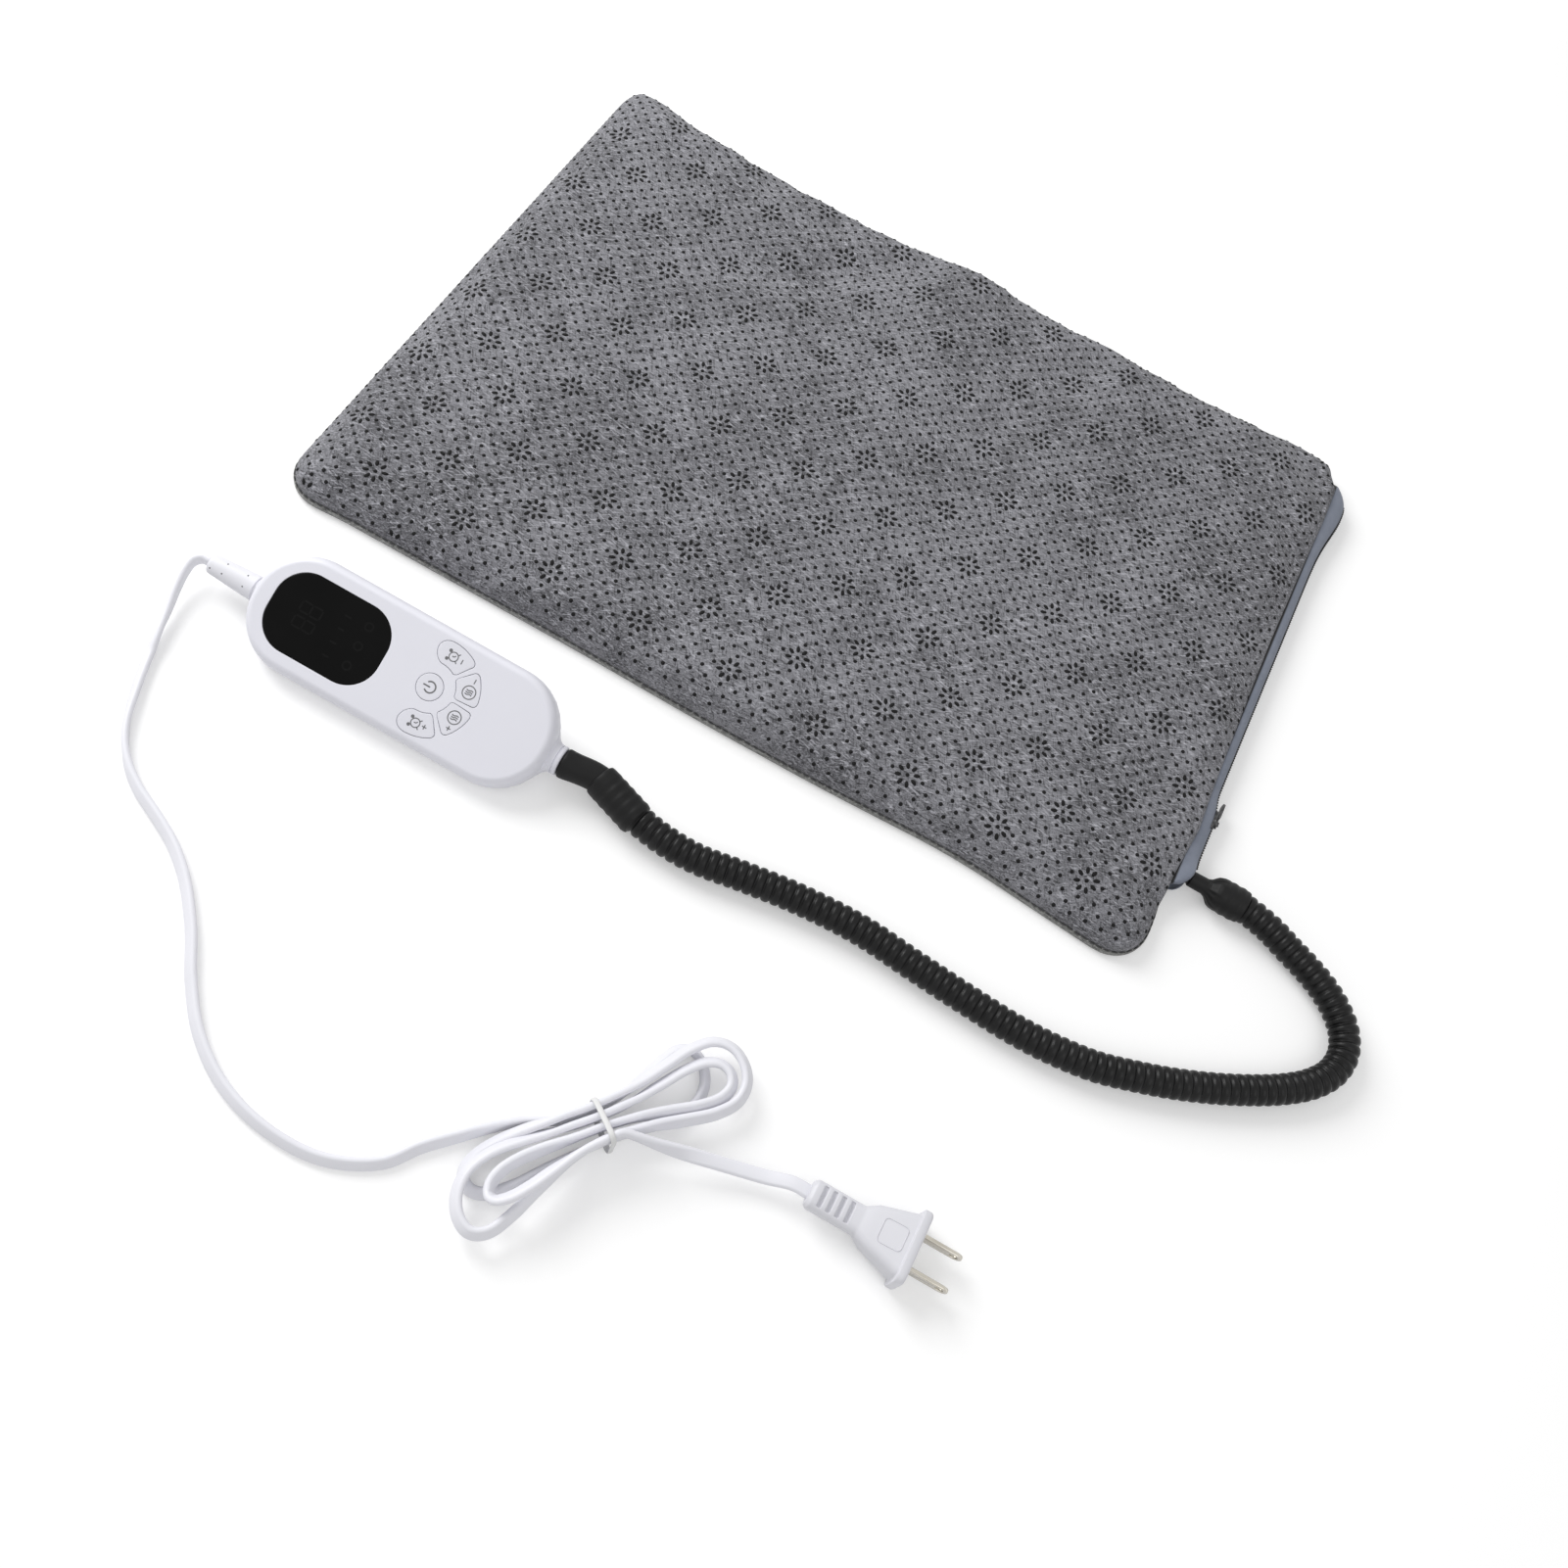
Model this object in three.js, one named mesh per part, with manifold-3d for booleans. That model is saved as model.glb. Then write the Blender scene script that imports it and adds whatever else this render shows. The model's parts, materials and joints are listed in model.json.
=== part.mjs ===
// Heating pad with a hand controller: a zipped felt cover over an inner heating bag, a ribbed hose to a
// moulded controller with five keys, and a flat mains cord tied in a hank before its plug.
// Millimetres, +Z up. X runs along the pad, +Y to its back, the table is z = 0, and the origin is the
// middle of the pad's underside.

import * as THREE from 'three';
import { mergeVertices } from 'three/addons/utils/BufferGeometryUtils.js';
import Module from 'manifold-3d';

const wasm = await Module();
wasm.setup();

// Gap between pieces that touch
const seat = 0.3;

// Felt cover of the pad
const padLength = 400;
const padWidth = 300;
const padCorner = 18;
const panelThickness = 1.8;
const seamUpstand = 1.8;
const seamWidth = 1.5;
const seamRamp = 2.5;
const hemRound = 1.2;
const crownHeight = 1.4;
const coverSlack = 0.7;
const foldHeight = 4;
const foldSpread = 24;
const foldFrontShare = 0.45;
const foldLift = 3;
const foldLiftRun = 14;

// How far the long sides are drawn in, as [share of the half length, millimetres]
const frontDrawIn = [
  [-1, 0], [-0.91, 3], [-0.28, 3.9], [0, 3.2], [0.28, 3.8], [0.58, 6.4], [0.91, 1], [1, 0],
];
const backDrawIn = [
  [-1, 0], [-0.91, 4.5], [-0.58, 10.4], [-0.28, 10.6], [0, 8], [0.28, 5.2], [0.58, 3.6], [0.91, 0.8], [1, 0],
];

// Inner bag with its felts and heating wire
const bagInset = 24;
const bagWall = 0.5;
const feltThickness = 2.5;
const wireDiameter = 1.6;
const wireRows = 8;
const wireMargin = 24.5;
const wireRowLength = 308;
const wireReturn = 3.5;

// Thermostat and thermal fuse, let into the upper felt
const thermostatSize = [20, 7, 4];
const thermostatInset = [80, 34];
const fuseLinkSize = [14, 4.5, 3.6];
const fuseLinkInset = [115, 34];

// Zip along the right short side
const zipFrontInset = 41;
const zipBackInset = 21;
const zipPlateau = 3;
const zipBlend = 10;
const tapeThickness = 0.6;
const tapeTuck = 5.5;
const tapeFlat = 0.2;
const tapeBend = 3.5;
const tapeTurn = 52;
const tapeLift = 0.5;
const zipBand = 7.2;
const coilStandOff = 3.1;
const coilDepth = 1.6;
const coilHeight = 1;
const coilSlit = 1.2;
const stopLength = 1.7;
const mouthWidth = 9.2;

// Zip slider and its pull
const sliderFromFront = 38;
const sliderLength = 9;
const sliderPlate = 1;
const sliderHeight = 6.8;
const sliderInnerHeight = 4.2;
const sliderGap = 0.4;
const sliderPost = [2.5, 0.6];
const earReach = 2.5;
const earWidth = 2.4;
const earThickness = 0.6;
const pullThickness = 0.9;
const pullLength = 11;
const pullWidth = 3.8;
const pullNeck = 3;

// Lead, hose and sleeves
const leadDiameter = 5.2;
const leadFromFront = 8;
const leadSteps = 60;
const hoseStandOff = 18;
const hoseDiameter = 12.5;
const hoseGroove = 0.75;
const hoseBore = 7.8;
const ribPitch = 3.9;
const hoseSides = 8;
const boreEvery = 2;
const tableGap = 0.1;
const sleeveWall = 0.6;
const sleeveSides = 16;
const sleeveLength = 22;
const sleeveNose = 10;
const noseDiameter = 7;
const bootDiameter = 11.6;
const bootSteps = 6;
const glandSize = [12, 18];
const glandNose = 5;

// Controller, in its own frame: x along it, y across, z out of its face
const caseLength = 131;
const caseWidth = 48;
const caseCorner = 23;
const caseWall = 2.2;
const faceHeight = 9.5;
const faceRound = 6;
const facetStart = [1.5, 1.5];
const keelHalf = 2;
const restTilt = 25;
const partingGap = 0.15;
const caseX = -106.5;
const caseY = -197.1;
const outletHeight = -0.5;

// Display window, keys and switches
const windowMargin = 8.9;
const windowSize = [49, 32.7];
const windowCorner = 13;
const windowThickness = 1.4;
const windowLedge = 1.5;
const displayMargin = 1.6;
const keysFromWindow = 21.1;
const powerDiameter = 10.6;
const fanInner = 10.2;
const fanOuter = 19.5;
const heatSpan = [4, 45.5];
const timerSpan = [54, 108];
const keyCorner = 1.6;
const timerEndCorner = 4.4;
const keyClearance = 0.3;
const keyProud = 0.2;
const keyFlange = 0.5;
const keyFlangeThickness = 0.8;
const keyTravel = 0.4;
const switchSize = 6;
const plungerRadius = 1.6;

// Board and what it carries
const boardInset = 2.8;
const boardThickness = 1.6;
const relaySize = [12, 9, 5.5];
const relayFromKeys = 10.1;
const capacitorSize = [3, 12];
const capacitorFromWindow = 13.7;
const fuseSize = [2.4, 16];
const fuseFromWindow = -8.3;

// Case screws, in bosses
const frontScrews = [30.5, 10];
const backScrews = [-14, 13];
const screwHead = [2.6, 1.7];
const screwShank = 1.3;
const screwLength = 8;
const bossRadius = 4.4;
const postRadius = 3;

// Outlets at the two ends of the case
const collarRadius = 6.2;
const collarReach = 4.6;
const collarDepth = 12;
const bushRadius = [5.2, 4];
const bushReach = 22.4;
const bushDepth = 10;

// Flat mains cord, its hank, tie and plug
const cordWidth = 5.4;
const cordThickness = 2.8;
const cordEndGap = 0.5;
const cordLean = 48;
const hankCentre = [47.5, -310];
const hankAngle = 51;
const hankTurns = 3;
const hankWaist = 7.2;
const loopSteps = 24;
const layerGap = 0.7;
const climbTurns = [0.835, 0.945];
const crossTurns = [2.72, 2.84];
// Lobes of the hank in the order the cord makes them, right and left in turn: how far each reaches,
// how wide it opens and how far it leans; and where the cord passes the waist between them
const lobeReach = [43, 50, 56, 56, 50, 44];
const lobeSwell = [18, 11, 23, 23.5, 16, -10];
const lobeLean = [8, -1.3, 1.5, -10.5, -0.5, -5];
const waistPasses = [6.9, -5, 7, -5.4, 2.8, -1.2, -6.6];
const tieThickness = 0.9;
const tieWidth = 3;
const plugX = 122.6;
const plugY = -294.2;
const gripLength = 20;
const gripSize = [11, 9];
const gripSlots = 4;
const slotWidth = 1.6;
const slotPitch = 3.6;
const slotDepth = 1.5;
const plugTaper = 19;
const plugStep = 4.5;
const plugWaist = [16, 12];
const plugShoulder = [24, 15];
const flangeThickness = 3.5;
const flangeSize = [28, 17];
const plugCorner = 3;
const bladeGap = 12.7;
const bladeSize = [16.5, 1.5, 6.3];
const bladeHole = 1.6;
const bladeSeat = 4;

// Places along the pad and the controller
const zipFront = zipFrontInset - padWidth / 2;
const zipBack = padWidth / 2 - zipBackInset;
const leadY = zipFront + leadFromFront;
const sliderY = zipFront + sliderFromFront;
const insetPlace = ([x, y]) => [padLength / 2 - x, y - padWidth / 2];
const thermostatPlace = insetPlace(thermostatInset);
const fuseLinkPlace = insetPlace(fuseLinkInset);
const windowX = windowMargin + windowSize[0] / 2 - caseLength / 2;
const keyCentreX = windowX + windowSize[0] / 2 + keysFromWindow;
const screwPlaces = [frontScrews, backScrews].flatMap(
  ([x, y]) => [[keyCentreX + x, y], [keyCentreX + x, -y]],
);

// Heights of the layers, from the table up
const bagFloorZ = panelThickness + seat;
const lowerFeltZ = bagFloorZ + bagWall + seat;
const wireZ = lowerFeltZ + feltThickness + seat + wireDiameter / 2;
const upperFeltZ = wireZ + wireDiameter / 2 + seat;
const bagLidZ = upperFeltZ + feltThickness + seat;
const coverZ = bagLidZ + bagWall + coverSlack;
const seamZ = panelThickness + seamUpstand + seat;
const zipZ = panelThickness + tapeLift + tapeThickness / 2 + zipBand / 2;
const zipSeamZ = zipZ + zipBand / 2 + tapeThickness / 2 + seat;

const degrees = THREE.MathUtils.degToRad;
const clamp = THREE.MathUtils.clamp;
const smooth = (x, from, to) => THREE.MathUtils.smoothstep(x, from, to);
const pad = new THREE.Group();
const controller = new THREE.Group();
const cords = new THREE.Group();

// Geometry helpers

function clean(geometry) {
  const bare = new THREE.BufferGeometry();
  bare.setAttribute('position', geometry.getAttribute('position').clone());
  if (geometry.index) bare.setIndex(geometry.index.clone());
  const merged = mergeVertices(bare, 1e-4);
  const kept = [];
  const index = merged.index.array;
  for (let i = 0; i < index.length; i += 3) {
    const [a, b, c] = [index[i], index[i + 1], index[i + 2]];
    if (a !== b && b !== c && c !== a) kept.push(a, b, c);
  }
  merged.setIndex(kept);
  return merged;
}

function solid(geometry) {
  const bare = clean(geometry);
  return new wasm.Manifold(new wasm.Mesh({
    numProp: 3,
    vertProperties: new Float32Array(bare.getAttribute('position').array),
    triVerts: new Uint32Array(bare.index.array),
  }));
}

function geometryOf(body) {
  const mesh = body.getMesh();
  const geometry = new THREE.BufferGeometry();
  geometry.setAttribute('position', new THREE.BufferAttribute(new Float32Array(mesh.vertProperties), 3));
  geometry.setIndex(new THREE.BufferAttribute(new Uint32Array(mesh.triVerts), 1));
  return geometry;
}

function combine(base, added, removed) {
  let body = solid(base);
  for (const piece of added) body = body.add(solid(piece));
  for (const piece of removed) body = body.subtract(solid(piece));
  return geometryOf(body);
}

function place(group, name, geometry, look) {
  const shape = clean(geometry);
  shape.computeVertexNormals();
  const mesh = new THREE.Mesh(shape, new THREE.MeshStandardMaterial({ ...look, name }));
  mesh.name = name;
  group.add(mesh);
}

function loft(rings) {
  const count = rings[0].length;
  const points = rings.flat();
  const index = [];
  for (let k = 0; k + 1 < rings.length; k += 1) {
    for (let j = 0; j < count; j += 1) {
      const a = k * count + j;
      const b = k * count + (j + 1) % count;
      index.push(a, b, b + count, a, b + count, a + count);
    }
  }
  for (const [ring, flip] of [[0, true], [rings.length - 1, false]]) {
    const centre = new THREE.Vector3();
    rings[ring].forEach((point) => centre.addScaledVector(point, 1 / count));
    points.push(centre);
    for (let j = 0; j < count; j += 1) {
      const a = ring * count + j;
      const b = ring * count + (j + 1) % count;
      if (flip) index.push(points.length - 1, b, a);
      else index.push(points.length - 1, a, b);
    }
  }
  const geometry = new THREE.BufferGeometry().setFromPoints(points);
  geometry.setIndex(index);
  return geometry;
}

function outline(length, width, corner, z, steps = 7, endCorner = corner) {
  const points = [];
  for (let quarter = 0; quarter < 4; quarter += 1) {
    const side = [[1, 1], [-1, 1], [-1, -1], [1, -1]][quarter];
    const radius = side[0] > 0 ? endCorner : corner;
    for (let i = 0; i <= steps; i += 1) {
      const angle = degrees(90 * (quarter + i / steps));
      points.push(new THREE.Vector3(
        side[0] * (length / 2 - radius) + radius * Math.cos(angle),
        side[1] * (width / 2 - radius) + radius * Math.sin(angle),
        z,
      ));
    }
  }
  return points;
}

function plate(length, width, corner, low, high, steps = 5) {
  return loft([outline(length, width, corner, low, steps), outline(length, width, corner, high, steps)]);
}

function box(size, centre) {
  return new THREE.BoxGeometry(...size).translate(...centre);
}

// A turned piece with its axis along +X from the origin; the profile holds [along, radius] pairs
function turned(profile, sides) {
  const points = profile.map(([along, radius]) => new THREE.Vector2(radius, along));
  return new THREE.LatheGeometry(points, sides).rotateZ(-Math.PI / 2);
}

function rod(radius, low, high, sides, [x, y]) {
  const profile = [[low, 0], [low, radius], [high, radius], [high, 0]];
  return turned(profile, sides).rotateY(-Math.PI / 2).translate(x, y, 0);
}

// Rings of a section carried along a line of centres, with the section's second axis held upright
function sweepRings(centres, sectionAt) {
  return centres.map((centre, i) => {
    const before = centres[Math.max(i - 1, 0)];
    const after = centres[Math.min(i + 1, centres.length - 1)];
    const along = after.clone().sub(before).normalize();
    const left = new THREE.Vector3(0, 0, 1).cross(along).normalize();
    const up = along.clone().cross(left);
    return sectionAt(i).map(([x, y]) => centre.clone().addScaledVector(left, x).addScaledVector(up, y));
  });
}

function polygon(radius, sides) {
  return Array.from({ length: sides }, (_, i) => {
    const angle = degrees((360 * (i + 0.5)) / sides);
    return [radius * Math.cos(angle), radius * Math.sin(angle)];
  });
}

function roundTube(curve, radius, steps, sides, bore) {
  const ring = (size) => polygon(size, sides).map(([x, y]) => new THREE.Vector2(x, y));
  const section = new THREE.Shape(ring(radius));
  section.holes.push(new THREE.Path(ring(bore)));
  return new THREE.ExtrudeGeometry(section, { extrudePath: curve, steps, curveSegments: 1 });
}

// Felt cover: both panels share one grid, whose rim follows the rounded outline with drawn-in long sides

const edgeSteps = [0, 0.08, 0.22, 0.5, 1].map((share) => share * padCorner);
const foldLines = [0.42, 1.1, 2.3, 4.8].map((share) => share * foldSpread);
const zipStart = zipFront - zipPlateau;
const rowShares = [0.2, 0.4, 0.6, 0.8];
const columnLines = gridLines(padLength / 2, [...foldLines.map((line) => -line).reverse(), 0, ...foldLines]);
const rowLines = gridLines(padWidth / 2, [
  zipStart - zipBlend,
  zipStart,
  ...rowShares.map((share) => zipStart + share * (padWidth / 2 - padCorner - zipStart)),
]);

function gridLines(half, inner) {
  const rim = edgeSteps.map((step) => half - step);
  return [...rim.map((line) => -line), ...inner, ...[...rim].reverse()];
}

function zipShare(row) {
  const back = zipBack + zipPlateau;
  return smooth(row, zipStart - zipBlend, zipStart) * (1 - smooth(row, back, back + zipBlend));
}

function drawnIn(knots, share) {
  const next = clamp(knots.findIndex(([at]) => share <= at), 1, knots.length - 1);
  const [[from, low], [to, high]] = [knots[next - 1], knots[next]];
  return THREE.MathUtils.mapLinear(clamp(share, from, to), from, to, low, high);
}

function coverPoint(column, row, inset, heightAt) {
  const [halfX, halfY] = [padLength / 2 - inset, padWidth / 2 - inset];
  const u = (column * halfX) / (padLength / 2);
  const v = (row * halfY) / (padWidth / 2);
  const corner = padCorner - inset;
  const cx = (Math.abs(u) - halfX + corner) / corner;
  const cy = (Math.abs(v) - halfY + corner) / corner;
  let [x, y] = [u, v];
  if (cx > 0 && cy > 0) {
    x = Math.sign(u) * (halfX - corner + corner * cx * Math.sqrt(1 - (cy * cy) / 2));
    y = Math.sign(v) * (halfY - corner + corner * cy * Math.sqrt(1 - (cx * cx) / 2));
  }
  y -= Math.sign(v) * drawnIn(v > 0 ? backDrawIn : frontDrawIn, x / halfX) * (v / halfY) ** 4;
  const fromRight = u > 0 && halfX - u <= halfY - Math.abs(v);
  const depth = Math.min(halfX - Math.abs(u), halfY - Math.abs(v));
  const zip = u > 0 ? zipShare(row) : 0;
  const fold = Math.exp(-((x / foldSpread) ** 2));
  const backDepth = padWidth / 2 - v;
  const lift = foldLift * fold * Math.max(0, 1 - backDepth / foldLiftRun);
  const shares = { across: u / halfX, deep: v / halfY, depth, zip, fold, fromRight };
  return new THREE.Vector3(x, y, heightAt(shares) + lift);
}

function sheet(topInset, topHeight, underInset, underHeight) {
  const [columns, rows] = [columnLines.length, rowLines.length];
  const layer = (inset, height) => rowLines.flatMap(
    (row) => columnLines.map((column) => coverPoint(column, row, inset, height)),
  );
  const points = [...layer(topInset, topHeight), ...layer(underInset, underHeight)];
  const under = columns * rows;
  const index = [];
  const quad = (a, b, c, d) => index.push(a, b, c, a, c, d);
  for (let r = 0; r + 1 < rows; r += 1) {
    for (let c = 0; c + 1 < columns; c += 1) {
      const a = r * columns + c;
      quad(a, a + 1, a + columns + 1, a + columns);
      quad(under + a, under + a + columns, under + a + columns + 1, under + a + 1);
    }
  }
  for (let c = 0; c + 1 < columns; c += 1) {
    const back = (rows - 1) * columns + c;
    quad(c, under + c, under + c + 1, c + 1);
    quad(back, back + 1, under + back + 1, under + back);
  }
  for (let r = 0; r + 1 < rows; r += 1) {
    const left = r * columns;
    const right = left + columns - 1;
    quad(left, left + columns, under + left + columns, under + left);
    quad(right, under + right, under + right + columns, right + columns);
  }
  const geometry = new THREE.BufferGeometry().setFromPoints(points);
  geometry.setIndex(index);
  return geometry;
}

const edgeRise = (depth) => Math.sqrt(1 - (1 - Math.min(depth / padCorner, 1)) ** 2);

function topPanelHeight(thickness) {
  return ({ across, deep, depth, zip, fold }) => {
    const rise = edgeRise(depth);
    const rim = seamZ + (zipSeamZ - seamZ) * zip;
    const crown = crownHeight * (1 - across ** 2) * (1 - deep ** 2);
    const ridge = foldHeight * fold * (foldFrontShare + (1 - foldFrontShare) * (deep + 1) / 2);
    return rim + (coverZ + thickness - rim) * rise + crown + ridge * rise;
  };
}

function bottomPanelTop({ depth, zip, fromRight }) {
  const upstand = clamp((seamWidth + seamRamp - depth) / seamRamp, 0, 1);
  return panelThickness + seamUpstand * upstand * (fromRight ? 1 - zip : 1);
}

const felt = { color: 0x7d7d82, roughness: 0.95, metalness: 0 };
const topPanel = sheet(0, topPanelHeight(panelThickness), panelThickness, topPanelHeight(0));
place(pad, 'cover_top_panel', topPanel, felt);
place(pad, 'cover_bottom_panel', sheet(0, bottomPanelTop, hemRound, () => 0), { ...felt, color: 0x8a8580 });

// Zip tapes, bent round to the coil, with a mouth left open for the lead

function alongY(profile, from, to) {
  const shape = new THREE.Shape(profile.map(([x, z]) => new THREE.Vector2(x, z)));
  const geometry = new THREE.ExtrudeGeometry(shape, { depth: to - from, bevelEnabled: false });
  return geometry.rotateX(Math.PI / 2).translate(0, to, 0);
}

function tapeProfile(side) {
  const edge = padLength / 2;
  const bendX = edge + tapeFlat;
  const bendZ = zipBand / 2 - tapeBend;
  const turns = [0, 0.25, 0.5, 0.75, 1].map((share) => degrees(tapeTurn * share));
  const line = (radius, reach) => [
    [edge - tapeTuck, bendZ + reach],
    ...turns.map((angle) => [bendX + radius * Math.sin(angle), bendZ + radius * Math.cos(angle)]),
  ];
  const outer = line(tapeBend + tapeThickness / 2, tapeBend + tapeThickness / 2);
  const inner = line(tapeBend - tapeThickness / 2, tapeBend - tapeThickness / 2);
  return [...outer, ...inner.reverse()].map(([x, z]) => [x, zipZ + side * z]);
}

const coilX = padLength / 2 + coilStandOff;
const mouth = box(
  [coilStandOff * 2, mouthWidth, zipBand + 2 * tapeThickness],
  [padLength / 2 + tapeFlat + coilStandOff, leadY, zipZ],
);
const coilBack = zipBack - stopLength - seat;

function coilProfile(side) {
  const low = zipZ + side * (coilSlit / 2);
  const high = zipZ + side * (coilSlit / 2 + coilHeight);
  return [[coilX, low], [coilX + coilDepth, low], [coilX + coilDepth, high], [coilX, high]];
}

const tapeLook = { color: 0x66727f, roughness: 0.85, metalness: 0 };
const coilLook = { color: 0x1b1c1f, roughness: 0.6, metalness: 0 };
const metalLook = { color: 0x3a3b3f, roughness: 0.4, metalness: 0.8 };
for (const [name, side] of [['upper', 1], ['lower', -1]]) {
  const tape = alongY(tapeProfile(side), zipFront, zipBack);
  place(pad, `zip_tape_${name}`, combine(tape, [], [mouth]), tapeLook);
  const coil = alongY(coilProfile(side), leadY + mouthWidth / 2, coilBack);
  place(pad, `zip_coil_${name}`, coil, coilLook);
}
const stopHeight = coilSlit + 2 * coilHeight;
const stopY = coilBack + seat + stopLength / 2;
const endStop = box([coilDepth, stopLength, stopHeight], [coilX + coilDepth / 2, stopY, zipZ]);
place(pad, 'zip_end_stop', endStop, metalLook);

// Slider: two plates joined by a post that runs in the slit between the coils, and ears for the pull

const sliderOuterX = coilX + coilDepth + sliderGap;
const sliderInnerX = coilX - 2 * sliderGap - sliderPlate;
const earX = sliderOuterX + sliderPlate;
const pullX = earX + earReach - pullThickness;
const earHeights = [-1, 1].map((side) => side * (pullThickness / 2 + seat + earThickness / 2));
const sliderOuter = box(
  [sliderPlate, sliderLength, sliderHeight],
  [sliderOuterX + sliderPlate / 2, sliderY, zipZ],
);
const sliderInner = box(
  [sliderPlate, sliderLength, sliderInnerHeight],
  [sliderInnerX + sliderPlate / 2, sliderY, zipZ],
);
const sliderBridge = box(
  [earX - sliderInnerX, ...sliderPost],
  [(earX + sliderInnerX) / 2, sliderY - sliderLength / 2 + sliderPost[0] / 2, zipZ],
);
const ears = earHeights.map((height) => box(
  [sliderPlate / 2 + earReach, earWidth, earThickness],
  [earX + earReach / 2 - sliderPlate / 4, sliderY, zipZ + height],
));
place(pad, 'zip_slider', combine(sliderOuter, [sliderInner, sliderBridge, ...ears], []), metalLook);
const pullBarrel = rod(
  pullThickness,
  zipZ - pullThickness / 2,
  zipZ + pullThickness / 2,
  12,
  [pullX, sliderY],
);
const pullStem = box(
  [pullThickness, pullNeck + 1, pullThickness],
  [pullX, sliderY + (pullNeck + 1) / 2, zipZ],
);
const pullTab = plate(pullLength - pullNeck, pullWidth, pullWidth / 3, 0, pullThickness, 3)
  .rotateX(Math.PI / 2)
  .rotateZ(Math.PI / 2)
  .translate(pullX - pullThickness / 2, sliderY + (pullLength + pullNeck) / 2, zipZ);
place(pad, 'zip_pull', combine(pullBarrel, [pullStem, pullTab], []), metalLook);

// Inner bag: a tray and lid round two felts, with the wire laid between them in rows

const bagLength = padLength - 2 * bagInset;
const bagWidth = padWidth - 2 * bagInset;
const wirePitch = (bagWidth - 2 * wireMargin) / (wireRows - 1);
const feltLength = bagLength - 2 * bagWall - 2 * seat;
const feltWidth = bagWidth - 2 * bagWall - 2 * seat;
const bagCorner = padCorner / 2;
const feltCorner = bagCorner - bagWall - seat;
const bagEdge = bagLength / 2;
const glandHeight = bagLidZ - lowerFeltZ - seat;
const glandZ = lowerFeltZ + glandHeight / 2;
const glandCut = box(
  [2 * glandSize[0] + 2 * seat, glandSize[1] + 2 * seat, glandHeight + 2 * seat],
  [bagEdge, leadY, glandZ],
);
const bagLook = { color: 0xdfe3e6, roughness: 0.5, metalness: 0 };
const trayOuter = plate(bagLength, bagWidth, bagCorner, bagFloorZ, bagLidZ - seat, 3);
const trayInner = plate(
  bagLength - 2 * bagWall,
  bagWidth - 2 * bagWall,
  bagCorner - bagWall,
  bagFloorZ + bagWall,
  bagLidZ,
  3,
);
place(pad, 'inner_bag_tray', combine(trayOuter, [], [trayInner, glandCut]), bagLook);
place(pad, 'inner_bag_lid', plate(bagLength, bagWidth, bagCorner, bagLidZ, bagLidZ + bagWall, 3), bagLook);

const wadding = { color: 0xece8de, roughness: 1, metalness: 0 };
const lowerFelt = plate(feltLength, feltWidth, feltCorner, lowerFeltZ, lowerFeltZ + feltThickness, 3);
const upperFelt = plate(feltLength, feltWidth, feltCorner, upperFeltZ, upperFeltZ + feltThickness, 3);
const letIn = (size, [x, y]) => box(
  [size[0] + 2 * seat, size[1] + 2 * seat, 3 * feltThickness],
  [x, y, upperFeltZ + feltThickness],
);
const pockets = [letIn(thermostatSize, thermostatPlace), letIn(fuseLinkSize, fuseLinkPlace)];
place(pad, 'lower_felt', combine(lowerFelt, [], [glandCut]), wadding);
place(pad, 'upper_felt', combine(upperFelt, [], [glandCut, ...pockets]), wadding);

const partZ = wireZ - wireDiameter / 2;
for (const [name, size, [x, y], look] of [
  ['thermostat', thermostatSize, thermostatPlace, { color: 0x2b2b2e, roughness: 0.5, metalness: 0 }],
  ['thermal_fuse', fuseLinkSize, fuseLinkPlace, { color: 0xd8d2c0, roughness: 0.4, metalness: 0 }],
]) {
  place(pad, name, box(size, [x, y, partZ + size[2] / 2]), look);
}

function wirePath() {
  const path = new THREE.CurvePath();
  const firstY = (-(wireRows - 1) * wirePitch) / 2;
  const end = wireRowLength / 2;
  const at = (x, y) => new THREE.Vector3(x, y, wireZ);
  const line = (a, b) => path.add(new THREE.LineCurve3(at(...a), at(...b)));
  const bend = (x, y, side) => {
    const reach = x + (side * wirePitch) / 2;
    const middle = y + wirePitch / 2;
    const pull = (wirePitch / 2) * 0.5523;
    path.add(new THREE.CubicBezierCurve3(
      at(x, y),
      at(x + side * pull, y),
      at(reach, middle - pull),
      at(reach, middle),
    ));
    path.add(new THREE.CubicBezierCurve3(
      at(reach, middle),
      at(reach, middle + pull),
      at(x + side * pull, y + wirePitch),
      at(x, y + wirePitch),
    ));
  };
  for (let row = 0; row < wireRows; row += 1) {
    const side = row % 2 === 0 ? -1 : 1;
    const y = firstY + row * wirePitch;
    line([-side * end, y], [side * end, y]);
    if (row + 1 < wireRows) bend(side * end, y, side);
  }
  return path;
}

function wireCentres() {
  const centres = [];
  for (const curve of wirePath().curves) {
    const steps = curve.isLineCurve3 ? 1 : 3;
    for (let i = 0; i < steps; i += 1) centres.push(curve.getPoint(i / steps));
  }
  const lastY = ((wireRows - 1) * wirePitch) / 2;
  const right = wireRowLength / 2;
  const returnX = right + wirePitch / 2 + wireReturn;
  const round = wirePitch / 3;
  const returnEnd = leadY + glandSize[1] / 2 + wireReturn;
  for (const [x, y] of [
    [right, lastY],
    [returnX - round, lastY],
    [returnX - round / 4, lastY - round / 4],
    [returnX, lastY - round],
    [returnX, returnEnd],
  ]) centres.push(new THREE.Vector3(x, y, wireZ));
  return centres;
}

const wireSection = polygon(wireDiameter / 2, 6);
place(
  pad,
  'heating_wire',
  loft(sweepRings(wireCentres(), () => wireSection)),
  { color: 0xb9302a, roughness: 0.4, metalness: 0 },
);

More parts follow.
